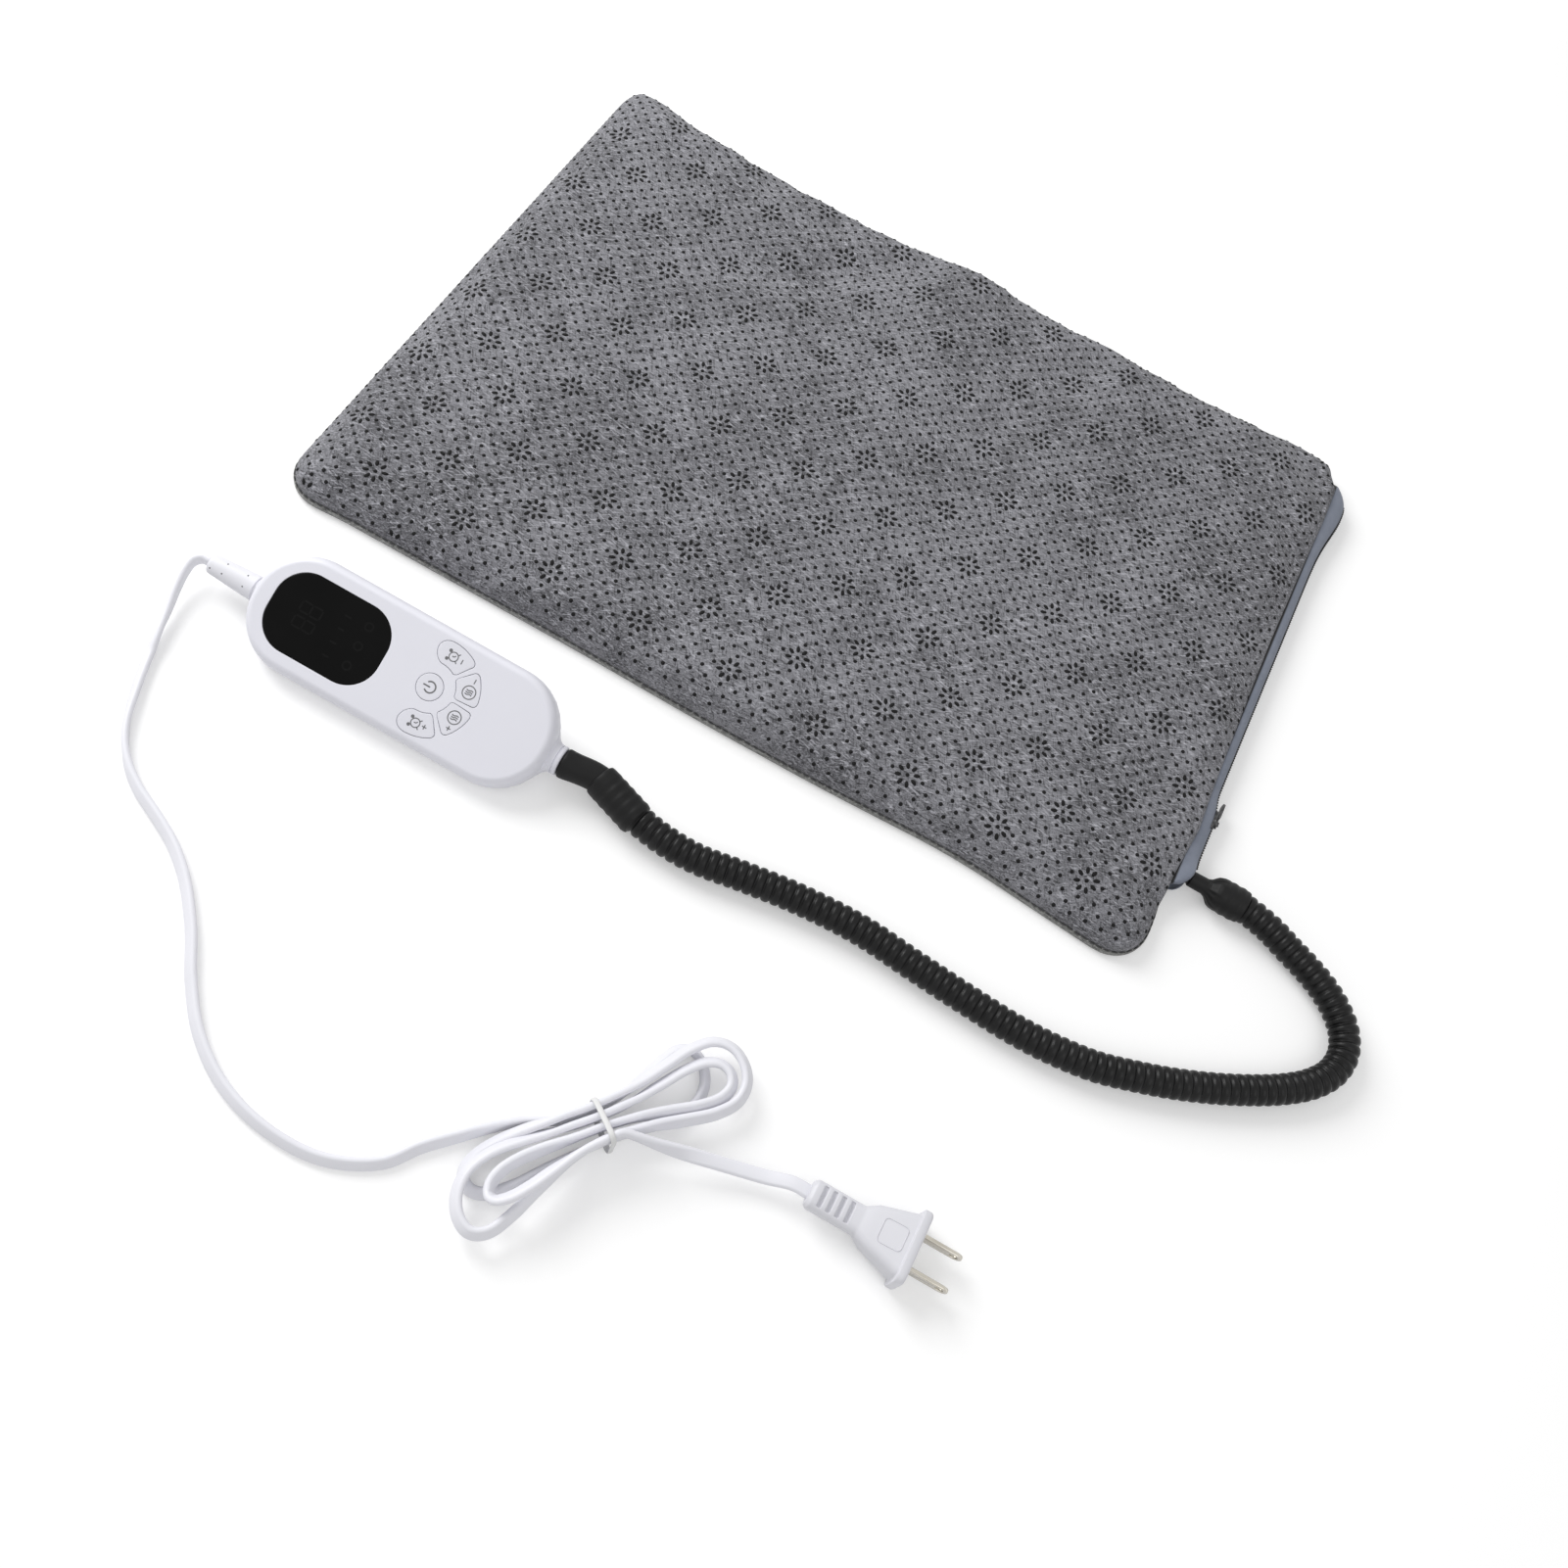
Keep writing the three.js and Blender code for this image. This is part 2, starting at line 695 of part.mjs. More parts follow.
// Moulded gland that carries the lead out of the bag
const glandNoseX = bagEdge + glandSize[0] / 2;
const glandBody = box([glandSize[0], glandSize[1], glandHeight], [bagEdge, leadY, glandZ]);
const glandTip = turned(
  [[0, 0], [0, glandHeight / 2 - seat], [glandNose, leadDiameter / 2 + 3 * seat], [glandNose, 0]],
  12,
).translate(glandNoseX - 0.01, leadY, zipZ);
const leadStart = bagEdge;
const glandBoreRadius = (leadDiameter / 2 + seat) / Math.cos(Math.PI / 12);
const glandBore = turned(
  [[0, 0], [0, glandBoreRadius], [glandSize[0] + glandNose, glandBoreRadius], [glandSize[0] + glandNose, 0]],
  12,
).translate(leadStart - seat, leadY, zipZ);
place(
  pad,
  'lead_gland',
  combine(glandBody, [glandTip], [glandBore]),
  { color: 0x202124, roughness: 0.6, metalness: 0 },
);

// Controller shells: a loft of rounded outlines, with a filleted face above and two resting facets below

const caseRing = (inset, z) => outline(
  caseLength - 2 * inset,
  caseWidth - 2 * inset,
  Math.max(caseCorner - inset, 0.6),
  z,
);
const facetSlope = Math.tan(degrees(restTilt));
const facetZ = (inset) => -facetStart[1] - (inset - facetStart[0]) * facetSlope;
const keelInset = caseWidth / 2 - keelHalf;
const innerRise = caseWall / Math.cos(degrees(restTilt));
const roundTurns = [0, 30, 60, 90].map(degrees);
const lidRings = (wall, low, round) => [
  caseRing(wall, low),
  ...roundTurns.map((turn) => caseRing(
    wall + round * (1 - Math.cos(turn)),
    faceHeight - wall - round + round * Math.sin(turn),
  )),
];
const shellLook = { color: 0xe9e9ec, roughness: 0.45, metalness: 0 };

const keyShapes = [
  { name: 'power_key', outline: (grow) => polygon(powerDiameter / 2 + grow, 24), switchAt: [0, 0] },
  ...[['minus', 1], ['plus', -1]].flatMap(([sign, side]) => [
    fanKey(`heat_${sign}_key`, heatSpan, side, keyCorner),
    fanKey(`timer_${sign}_key`, timerSpan, side, timerEndCorner),
  ]),
];

// A key of the fan: a rounded block bent round the power key, from one angle to another
function fanKey(name, span, side, endCorner) {
  const middle = (fanInner + fanOuter) / 2;
  const points = (grow) => {
    const half = degrees((span[1] - span[0]) / 2) * middle + grow;
    const deep = (fanOuter - fanInner) / 2 + grow;
    const block = outline(2 * half, 2 * deep, keyCorner + grow, 0, 3, endCorner + grow);
    const bent = block.map(({ x, y }) => {
      const angle = side * (degrees((span[0] + span[1]) / 2) + x / middle);
      return [(middle + y) * Math.cos(angle), (middle + y) * Math.sin(angle)];
    });
    return side > 0 ? bent.reverse() : bent;
  };
  const angle = side * degrees((span[0] + span[1]) / 2);
  return { name, outline: points, switchAt: [middle * Math.cos(angle), middle * Math.sin(angle)] };
}

function keyBlock(key, grow, low, high) {
  const ring = (z) => key.outline(grow).map(([x, y]) => new THREE.Vector3(keyCentreX + x, y, z));
  return loft([ring(low), ring(high)]);
}

const outletCut = (radius, from, to) => turned([[from, 0], [from, radius], [to, radius], [to, 0]], 20)
  .translate(0, 0, outletHeight);
const caseEnd = caseLength / 2;
const collarCut = outletCut(collarRadius + seat, caseEnd - collarDepth - seat, caseEnd + collarReach);
const bushCut = outletCut(bushRadius[0] + seat, -caseEnd - bushReach, -caseEnd + bushDepth + seat);
const ledgeZ = faceHeight - windowThickness - seat;
const windowAt = (length, width, corner, low, high) => plate(length, width, corner, low, high, 8)
  .translate(windowX, 0, 0);
const windowPocket = windowAt(
  windowSize[0] + 2 * seat,
  windowSize[1] + 2 * seat,
  windowCorner + seat,
  ledgeZ,
  faceHeight + 1,
);
const windowOpening = windowAt(
  windowSize[0] - 2 * windowLedge,
  windowSize[1] - 2 * windowLedge,
  windowCorner - windowLedge,
  0,
  faceHeight,
);
const keyCuts = keyShapes.map((key) => keyBlock(key, keyClearance, 0, faceHeight + 1));
const flangeTop = faceHeight - caseWall - keyClearance;
const flangeRelief = keyShapes.map(
  (key) => keyBlock(key, keyFlange + keyClearance, 0, flangeTop + 0.8 * keyClearance),
);
const postLow = partingGap;
const screwTip = (place) => recessZ(place) + screwLength - screwHead[1];
const posts = screwPlaces.map((at) => rod(postRadius, postLow, faceHeight - caseWall / 2, 12, at));
const pilots = screwPlaces.map((at) => rod(screwShank + seat, recessZ(at) - 1, screwTip(at) + seat, 12, at));
const lidOuter = loft([
  caseRing(partingGap, partingGap),
  caseRing(0, 1),
  ...lidRings(0, 1, faceRound).slice(1),
]);
const lidCavity = loft(lidRings(caseWall, -1, faceRound - caseWall));
const lid = combine(lidOuter, [], [lidCavity]);
const lidCuts = [windowPocket, windowOpening, ...keyCuts, ...flangeRelief, ...pilots, collarCut, bushCut];
place(controller, 'controller_top_shell', combine(lid, posts, lidCuts), shellLook);

// Underside: the hull's two facets meet at a narrow keel, and the case rests on one of them
function recessZ([, y]) {
  return facetZ(caseWidth / 2 - Math.abs(y)) + screwHead[1] + screwHead[0] * facetSlope + seat;
}
const hullOuter = loft([
  caseRing(keelInset, facetZ(keelInset)),
  caseRing(facetStart[0], -facetStart[1]),
  caseRing(facetStart[0] / 3, -facetStart[1] * 0.62),
  caseRing(0, -facetStart[1] / 3),
  caseRing(partingGap, -partingGap),
]);
const hullCavity = loft([
  caseRing(keelInset, facetZ(keelInset) + innerRise),
  caseRing(2 * caseWall, Math.max(facetZ(2 * caseWall) + innerRise, 0)),
  caseRing(2 * caseWall, 2),
]);
const bossLow = ([, y]) => facetZ(caseWidth / 2 - Math.abs(y)) - 1;
const bosses = screwPlaces.map((at) => rod(bossRadius, bossLow(at), -partingGap, 14, at));
const hullOnly = solid(hullOuter);
const bossesInHull = bosses.map((boss) => geometryOf(solid(boss).intersect(hullOnly)));
const recesses = screwPlaces.map(
  (at) => rod(screwHead[0] + seat, -2 * faceHeight, recessZ(at) + seat, 14, at),
);
const hull = combine(hullOuter, [], [hullCavity]);
place(
  controller,
  'controller_bottom_shell',
  combine(hull, bossesInHull, [...recesses, ...pilots, collarCut, bushCut]),
  shellLook,
);

screwPlaces.forEach((at, i) => {
  const top = recessZ(at);
  const head = rod(screwHead[0], top - screwHead[1], top, 12, at);
  const shank = rod(screwShank, top - screwHead[1] / 2, screwTip(at), 8, at);
  place(controller, `case_screw_${i + 1}`, combine(head, [shank], []), metalLook);
});

// Window, display, keys and the board under them

const windowPane = windowAt(...windowSize, windowCorner, faceHeight - windowThickness, faceHeight);
place(controller, 'display_window', windowPane, { color: 0x0a0a0c, roughness: 0.1, metalness: 0 });

const boardLow = partingGap;
const boardTop = boardLow + boardThickness;
const boardHoles = screwPlaces.map((at) => rod(postRadius + seat, boardLow - 1, boardTop + 1, 12, at));
const board = loft([caseRing(boardInset, boardLow), caseRing(boardInset, boardTop)]);
place(
  controller,
  'circuit_board',
  combine(board, [], [...boardHoles, collarCut, bushCut]),
  { color: 0x2f6b3a, roughness: 0.5, metalness: 0 },
);
place(
  controller,
  'display_module',
  windowAt(
    windowSize[0] - 2 * windowLedge - 2 * displayMargin,
    windowSize[1] - 2 * windowLedge - 2 * displayMargin,
    windowCorner - windowLedge - displayMargin,
    boardTop + seat,
    ledgeZ - seat,
  ),
  { color: 0x1d2420, roughness: 0.3, metalness: 0 },
);

const flangeLow = flangeTop - keyFlangeThickness;
const plungerTop = flangeLow - keyTravel - 0.1;
for (const key of keyShapes) {
  const cap = keyBlock(key, 0, flangeTop - 0.1, faceHeight + keyProud);
  const flange = keyBlock(key, keyFlange, flangeLow, flangeTop);
  place(controller, key.name, combine(cap, [flange], []), { color: 0xe4e4e8, roughness: 0.5, metalness: 0 });
  const [x, y] = [keyCentreX + key.switchAt[0], key.switchAt[1]];
  const switchTop = plungerTop - 0.8;
  const base = box(
    [switchSize, switchSize, switchTop - boardTop - seat],
    [x, y, (switchTop + boardTop + seat) / 2],
  );
  const plunger = rod(plungerRadius, switchTop - 1, plungerTop, 10, [x, y]);
  const name = key.name.replace('_key', '_switch');
  place(controller, name, combine(base, [plunger], []), { color: 0x26272a, roughness: 0.5, metalness: 0 });
}

const underBoard = boardLow - seat;
place(
  controller,
  'relay',
  box(relaySize, [keyCentreX + relayFromKeys, 0, underBoard - relaySize[2] / 2]),
  { color: 0x2a4f8f, roughness: 0.4, metalness: 0 },
);
for (const [name, [radius, length], fromWindow, color] of [
  ['capacitor', capacitorSize, capacitorFromWindow, 0x20232b],
  ['board_fuse', fuseSize, fuseFromWindow, 0xcfd3d2],
]) {
  const barrel = turned([[0, 0], [0, radius], [length, radius], [length, 0]], 12)
    .translate(windowX + fromWindow - length / 2, 0, underBoard - radius);
  place(controller, name, barrel, { color, roughness: 0.25, metalness: 0 });
}

// Outlets: a short collar for the hose and a tapered bush for the mains cord, each with a flange inside

const collar = turned([
  [caseEnd - collarDepth, leadDiameter / 2 + seat],
  [caseEnd - collarDepth, collarRadius],
  [caseEnd + collarReach - 1, collarRadius],
  [caseEnd + collarReach, collarRadius - 1],
  [caseEnd + collarReach, leadDiameter / 2 + seat],
  [caseEnd - collarDepth, leadDiameter / 2 + seat],
], 20).translate(0, 0, outletHeight);
place(controller, 'hose_collar', collar, shellLook);

const bush = turned([
  [-caseEnd - bushReach, 0],
  [-caseEnd - bushReach, bushRadius[1]],
  [-caseEnd - 4, bushRadius[0] - 0.3],
  [-caseEnd - 3, bushRadius[0] - 0.8],
  [-caseEnd - 2, bushRadius[0] - 0.8],
  [-caseEnd - 1, bushRadius[0]],
  [-caseEnd + bushDepth, bushRadius[0]],
  [-caseEnd + bushDepth, 0],
], 20).translate(0, 0, outletHeight);
place(controller, 'mains_bush', bush, shellLook);

// The case lies tipped on a facet, with its face turned to the front
const tilt = degrees(restTilt);
const restHeight = (caseWidth / 2 - facetStart[0]) * Math.sin(tilt) + facetStart[1] * Math.cos(tilt);
controller.position.set(caseX, caseY, restHeight);
controller.rotation.x = tilt;
const outletY = caseY - outletHeight * Math.sin(tilt);
const outletZ = restHeight + outletHeight * Math.cos(tilt);

// Hose route, from the controller's boot along the table and back to the pad

const sleeveBore = (hoseDiameter / 2 + seat) / Math.cos(Math.PI / sleeveSides);
const sleeveRadius = sleeveBore + sleeveWall;
const hoseZ = hoseDiameter / 2 + tableGap;
const hoseEndZ = sleeveRadius + tableGap;
const bootStart = new THREE.Vector3(caseX + caseEnd + collarReach + seat, outletY, outletZ);
const bootEnd = new THREE.Vector3(-18, -195.8, 9.25);
const hoseHeading = new THREE.Vector3(0.952, -0.292, -0.09).normalize();
const bootCurve = new THREE.CubicBezierCurve3(
  bootStart,
  bootStart.clone().add(new THREE.Vector3(6, 0, 0)),
  bootEnd.clone().addScaledVector(hoseHeading, -6),
  bootEnd,
);
const hoseStart = bootEnd.clone().addScaledVector(hoseHeading, seat);
const hoseEndX = padLength / 2 + hoseStandOff;
const hoseEnd = new THREE.Vector3(hoseEndX, leadY, hoseEndZ);
const hosePoints = [
  hoseStart,
  hoseStart.clone().addScaledVector(hoseHeading, hoseDiameter),
  ...[
    [2.2, -201.4, 7.4], [14, -202.9, 6.9], [27, -202.7], [46, -199.5], [68, -196.3], [95, -194.7],
    [121, -196.6], [145, -198.2], [167, -199.1], [184, -198.2], [200, -195.8], [215, -191.3], [230, -185.9],
    [245, -179.3], [259, -172], [271.2, -164.4], [280.7, -156.5], [287.2, -147.5], [289.3, -137.6],
    [286.6, -128.4], [280.6, -121], [273, -115.3],
  ].map(([x, y, z = hoseZ]) => new THREE.Vector3(x, y, z)),
  new THREE.Vector3(hoseEndX + 46.2, leadY - 9.9, hoseZ),
  new THREE.Vector3(hoseEndX + 36.4, leadY - 6.1, hoseZ),
  new THREE.Vector3(hoseEndX + 25.4, leadY - 2.6, hoseEndZ),
  new THREE.Vector3(hoseEndX + hoseDiameter, leadY, hoseEndZ),
  hoseEnd,
];
const hoseCurve = new THREE.CatmullRomCurve3(hosePoints);

function ribbedHose() {
  const ribs = Math.round(hoseCurve.getLength() / ribPitch);
  const centres = hoseCurve.getSpacedPoints(2 * ribs);
  const crest = polygon(hoseDiameter / 2, hoseSides);
  const groove = polygon(hoseDiameter / 2 - hoseGroove, hoseSides);
  const bore = polygon(hoseBore / 2, hoseSides);
  const outer = sweepRings(centres, (i) => (i % 2 === 0 ? groove : crest));
  const boreCentres = centres.filter((_, i) => i % (2 * boreEvery) === 0 || i === centres.length - 1);
  const inner = sweepRings(boreCentres, () => bore);
  const points = [...outer, ...inner].flat();
  const index = [];
  const wall = (first, rings, flip) => {
    for (let k = 0; k + 1 < rings; k += 1) {
      for (let j = 0; j < hoseSides; j += 1) {
        const a = first + k * hoseSides + j;
        const b = first + k * hoseSides + (j + 1) % hoseSides;
        const [c, d] = [b + hoseSides, a + hoseSides];
        index.push(...(flip ? [a, c, b, a, d, c] : [a, b, c, a, c, d]));
      }
    }
  };
  const innerFirst = outer.length * hoseSides;
  wall(0, outer.length, false);
  wall(innerFirst, inner.length, true);
  const ends = [[0, innerFirst, true], [innerFirst - hoseSides, points.length - hoseSides, false]];
  for (const [outside, inside, flip] of ends) {
    for (let j = 0; j < hoseSides; j += 1) {
      const next = (j + 1) % hoseSides;
      const ring = [outside + j, outside + next, inside + next, inside + j];
      const [a, b, c, d] = flip ? [ring[0], ring[3], ring[2], ring[1]] : ring;
      index.push(a, b, c, a, c, d);
    }
  }
  const geometry = new THREE.BufferGeometry().setFromPoints(points);
  geometry.setIndex(index);
  return geometry;
}

const blackRubber = { color: 0x1c1c1e, roughness: 0.55, metalness: 0 };
place(cords, 'ribbed_hose', ribbedHose(), blackRubber);
const leadBore = leadDiameter / 2 + seat;
const boot = roundTube(bootCurve, bootDiameter / 2, bootSteps, 12, leadBore + seat);
place(cords, 'hose_boot', boot, blackRubber);

// Sleeves shrunk over the two ends of the hose
const hoseSleeve = turned([
  [-3, sleeveBore],
  [-3, sleeveRadius - 0.4],
  [-1, sleeveRadius],
  [sleeveLength - 4, sleeveRadius],
  [sleeveLength - 3, sleeveRadius - 0.4],
  [sleeveLength - 3, sleeveBore],
  [-3, sleeveBore],
], sleeveSides);
const sleeveTurn = new THREE.Quaternion().setFromUnitVectors(new THREE.Vector3(1, 0, 0), hoseHeading);
hoseSleeve.applyQuaternion(sleeveTurn);
hoseSleeve.translate(...hoseStart);
place(cords, 'hose_sleeve_controller', hoseSleeve, blackRubber);
const padSleeve = turned([
  [-sleeveNose, leadBore],
  [-sleeveNose, noseDiameter / 2],
  [-2.5, noseDiameter / 2],
  [1, sleeveRadius - 0.6],
  [2.5, sleeveRadius],
  [sleeveLength - 8, sleeveRadius],
  [sleeveLength - 7, sleeveRadius - 0.4],
  [sleeveLength - 7, sleeveBore],
  [2 - seat, sleeveBore],
  [2 - seat, leadBore],
  [-sleeveNose, leadBore],
], sleeveSides).translate(hoseEndX - 2, leadY, hoseEndZ);
place(cords, 'hose_sleeve_pad', padSleeve, blackRubber);

// Lead inside the hose, from the bag's gland to the controller
const leadPoints = [
  new THREE.Vector3(leadStart, leadY, zipZ),
  new THREE.Vector3(padLength / 2 + tapeFlat, leadY, zipZ),
  new THREE.Vector3(hoseEndX - 2 - sleeveNose, leadY, hoseEndZ),
  ...hoseCurve.getSpacedPoints(leadSteps - 8).reverse(),
  ...bootCurve.getSpacedPoints(4).reverse(),
  bootStart.clone().add(new THREE.Vector3(-collarDepth, 0, 0)),
];
const leadSection = polygon(leadDiameter / 2, 8);
place(cords, 'lead_cable', loft(sweepRings(leadPoints, () => leadSection)), blackRubber);

// Flat mains cord: it leaves the bush on edge, leans over on the table and stands on edge again at the hank

const cordFlatZ = cordThickness / 2 + tableGap;
const cordEdgeZ = cordWidth / 2 + tableGap;
const bushEnd = new THREE.Vector3(caseX - caseEnd - bushReach - cordEndGap, outletY, outletZ);
const cordSection = (turn) => {
  const [w, t] = [cordWidth / 2, cordThickness / 2];
  const flat = [[w, 0], [w / 2, t], [-w / 2, t], [-w, 0], [-w / 2, -t], [w / 2, -t]];
  const [c, s] = [Math.cos(degrees(turn)), Math.sin(degrees(turn))];
  return flat.map(([x, y]) => [x * c - y * s, x * s + y * c]);
};

function flatCord(points, steps, turnAt) {
  const curve = new THREE.CatmullRomCurve3(points);
  const centres = curve.getSpacedPoints(steps);
  const sections = centres.map((_, i) => cordSection(turnAt(i / steps)));
  centres.forEach((centre, i) => {
    const low = Math.max(...sections[i].map(([, y]) => -y));
    centre.z = Math.max(centre.z, low + tableGap);
  });
  return loft(sweepRings(centres, (i) => sections[i]));
}

const hankAlong = new THREE.Vector3(Math.cos(degrees(hankAngle)), Math.sin(degrees(hankAngle)), 0);
const hankAcross = new THREE.Vector3(-hankAlong.y, hankAlong.x, 0);
const hankAt = (p, q, z) => new THREE.Vector3(...hankCentre, z)
  .addScaledVector(hankAlong, p)
  .addScaledVector(hankAcross, q);

// Hank: loops drawn in at the waist, the first turn below and the rest above; the last lobe ends on top
const layerRise = cordWidth + layerGap;
const tieRoom = tieThickness + seat;

function hankPoint(turn) {
  const lobe = Math.min(Math.floor(2 * turn), 2 * hankTurns - 1);
  const angle = Math.PI / 2 - 2 * Math.PI * turn;
  const open = Math.cos(angle) ** 2;
  const along = lobeReach[lobe] * Math.cos(angle);
  const passed = (1 - (lobe % 2 ? -1 : 1) * Math.sin(angle)) / 2;
  const across = THREE.MathUtils.lerp(waistPasses[lobe], waistPasses[lobe + 1], passed)
    + (lobeSwell[lobe] * Math.sin(angle) + lobeLean[lobe]) * open;
  const layer = smooth(turn, ...climbTurns) + smooth(turn, ...crossTurns);
  const lift = tieRoom * Math.exp(-((along / 14) ** 2));
  return hankAt(along, across, cordEdgeZ + lift + layerRise * layer);
}

const hankSection = cordSection(90);

function hankCentres(stepsPerLoop) {
  const count = hankTurns * stepsPerLoop;
  const loops = Array.from({ length: count + 1 }, (_, i) => hankPoint(i / stepsPerLoop));
  const lead = hankAlong.clone().multiplyScalar(cordWidth);
  return [loops[0].clone().sub(lead), ...loops, loops[count].clone().add(lead)];
}

// Least gap between stretches of the hank that are not neighbours along it
function hankGap() {
  const rings = sweepRings(hankCentres(4 * loopSteps), () => hankSection);
  let least = Infinity;
  for (let i = 0; i < rings.length; i += 1) {
    for (let j = i + 2 * loopSteps; j < rings.length; j += 1) {
      for (const a of rings[i]) {
        for (const b of rings[j]) least = Math.min(least, a.distanceTo(b));
      }
    }
  }
  return least;
}

const cordLook = { color: 0xececee, roughness: 0.5, metalness: 0 };
place(cords, 'mains_cord_hank', loft(sweepRings(hankCentres(loopSteps), () => hankSection)), cordLook);
console.log(`hank: least gap ${hankGap().toFixed(2)} mm`);

const hankStart = hankPoint(0).addScaledVector(hankAlong, -cordWidth - cordEndGap);
const hankEnd = hankPoint(hankTurns).addScaledVector(hankAlong, cordWidth + cordEndGap);
const runPoints = [
  bushEnd,
  bushEnd.clone().add(new THREE.Vector3(-cordWidth * 0.6, 0, 0)),
  ...[
    [-200.9, -199.5, 9.5], [-201.2, -204, 8.4], [-200, -211.5, 6.6], [-197.2, -221.5, 4.9],
    [-194.3, -232.4, 3.7], [-191, -243.6], [-187, -254.3], [-182.1, -265.2], [-177.7, -272.4], [-173, -278],
    [-167.5, -282.8], [-160.3, -287.3], [-152.4, -290.9], [-145, -294.4], [-137.1, -298.8], [-126.5, -307],
    [-113.5, -321], [-102, -336.5], [-88, -351], [-70.5, -361.5], [-50, -366.6], [-28.5, -365.6], [-11, -357],
  ].map(([x, y, z = cordFlatZ]) => new THREE.Vector3(x, y, z)),
  ...[[-60, 16.2], [-48, 15.3], [-36, 14.1], [-24, 12]].map(([p, q]) => hankAt(p, q, cordEdgeZ)),
  hankStart.clone().addScaledVector(hankAlong, -cordWidth),
  hankStart,
];
const onEdge = (share) => cordLean
  + (90 - cordLean) * (1 - smooth(share, 0.06, 0.15) + smooth(share, 0.86, 0.97))
  + (85 - cordLean) * Math.exp(-(((share - 0.24) / 0.045) ** 2));
place(cords, 'mains_cord_run', flatCord(runPoints, 84, onEdge), cordLook);

// Tail from the hank's tie to the plug
const plugZ = flangeSize[1] / 2 + tableGap;
const tailPoints = [
  hankEnd,
  hankEnd.clone().addScaledVector(hankAlong, cordWidth),
  ...[
    [15.5, -10, 15.6], [20.5, -15.5, 12.8], [27, -21, 8.6], [34, -27, 5.2], [41.5, -33.6, 3.2],
  ].map(([p, q, z]) => hankAt(p, q, z)),
  new THREE.Vector3(109, -296.6, 4.2),
  new THREE.Vector3(plugX - cordEndGap - cordWidth, plugY, plugZ),
  new THREE.Vector3(plugX - cordEndGap, plugY, plugZ),
];
const tailTurn = (share) => 90 * (1 - smooth(share, 0.15, 0.6));
place(cords, 'mains_cord_tail', flatCord(tailPoints, 24, tailTurn), cordLook);

// Tie round the hank's waist: a band drawn tight over two layers and the last run on top of them
const tieHalf = hankWaist + cordThickness / 2 + seat;
const tieLow = tableGap + tieThickness;
const tieSide = tieLow + 2 * layerRise + tieRoom;
const tieTop = tieSide + layerRise;
const tieLoop = [
  [-tieHalf, tieLow + 1], [1 - tieHalf, tieLow], [tieHalf - 1, tieLow], [tieHalf, tieLow + 1],
  [tieHalf, tieSide - 1], [tieHalf - 1, tieSide], [-hankWaist / 2, tieTop], [1 - tieHalf, tieTop],
  [-tieHalf, tieTop - 1],
].map(([x, y]) => new THREE.Vector2(x, y));

function offsetLoop(points, distance) {
  return points.map((point, i) => {
    const before = points[(i + points.length - 1) % points.length];
    const after = points[(i + 1) % points.length];
    const [a, b] = [point.clone().sub(before).normalize(), after.clone().sub(point).normalize()];
    const mitre = new THREE.Vector2(a.y + b.y, -a.x - b.x).divideScalar(1 + a.dot(b));
    return point.clone().addScaledVector(mitre, distance);
  });
}

const tieBand = new THREE.Shape(offsetLoop(tieLoop, tieThickness));
tieBand.holes.push(new THREE.Path(tieLoop));
const tie = new THREE.ExtrudeGeometry(tieBand, { depth: tieWidth, bevelEnabled: false, curveSegments: 1 })
  .translate(0, 0, -tieWidth / 2)
  .rotateX(Math.PI / 2)
  .rotateZ(degrees(hankAngle) + Math.PI / 2)
  .translate(...hankCentre, 0);
place(cords, 'cord_tie', tie, cordLook);

// Plug: slotted grip, tapered body and flange, with two flat blades

function plugBody() {
  const ring = (x, [width, height], corner = plugCorner) => outline(width, height, corner, 0, 4)
    .map((point) => new THREE.Vector3(x, point.x, point.y));
  const shoulder = gripLength + plugTaper;
  const face = shoulder + flangeThickness;
  const body = loft([
    ring(0, [gripSize[0] - 2, gripSize[1] - 2]),
    ring(1.5, gripSize),
    ring(gripLength, gripSize),
    ring(gripLength + 1, [gripSize[0] + 1, gripSize[1] + 0.5]),
    ring(gripLength + plugStep, plugWaist),
    ring(shoulder, plugShoulder),
    ring(shoulder, flangeSize),
    ring(face - 1, flangeSize),
    ring(face, [flangeSize[0] - 1, flangeSize[1] - 1]),
  ]);
  const slots = [];
  for (let i = 0; i < gripSlots; i += 1) {
    for (const side of [-1, 1]) {
      const x = 4 + i * slotPitch + slotWidth / 2;
      const z = side * (gripSize[1] / 2);
      slots.push(box([slotWidth, gripSize[0] - 2 * slotDepth, 2 * slotDepth], [x, 0, z]));
    }
  }
  const sockets = [-1, 1].map((side) => box(
    [2 * bladeSeat, bladeSize[1] + 2 * seat, bladeSize[2] + 2 * seat],
    [face, (side * bladeGap) / 2, 0],
  ));
  return combine(body, [], [...slots, ...sockets]);
}

const plugFace = plugX + gripLength + plugTaper + flangeThickness;
place(cords, 'plug_body', plugBody().translate(plugX, plugY, plugZ), cordLook);

function plugBlade() {
  const reach = bladeSize[0] + bladeSeat - seat;
  const shape = new THREE.Shape();
  const half = bladeSize[2] / 2;
  shape.moveTo(0, -half);
  shape.lineTo(reach - half, -half);
  shape.absarc(reach - half, 0, half, -Math.PI / 2, Math.PI / 2);
  shape.lineTo(0, half);
  shape.closePath();
  const hole = new THREE.Path();
  hole.absarc(reach - half, 0, bladeHole, 0, 2 * Math.PI, true);
  shape.holes.push(hole);
  return new THREE.ExtrudeGeometry(shape, { depth: bladeSize[1], bevelEnabled: false, curveSegments: 8 })
    .translate(0, 0, -bladeSize[1] / 2)
    .rotateX(Math.PI / 2);
}

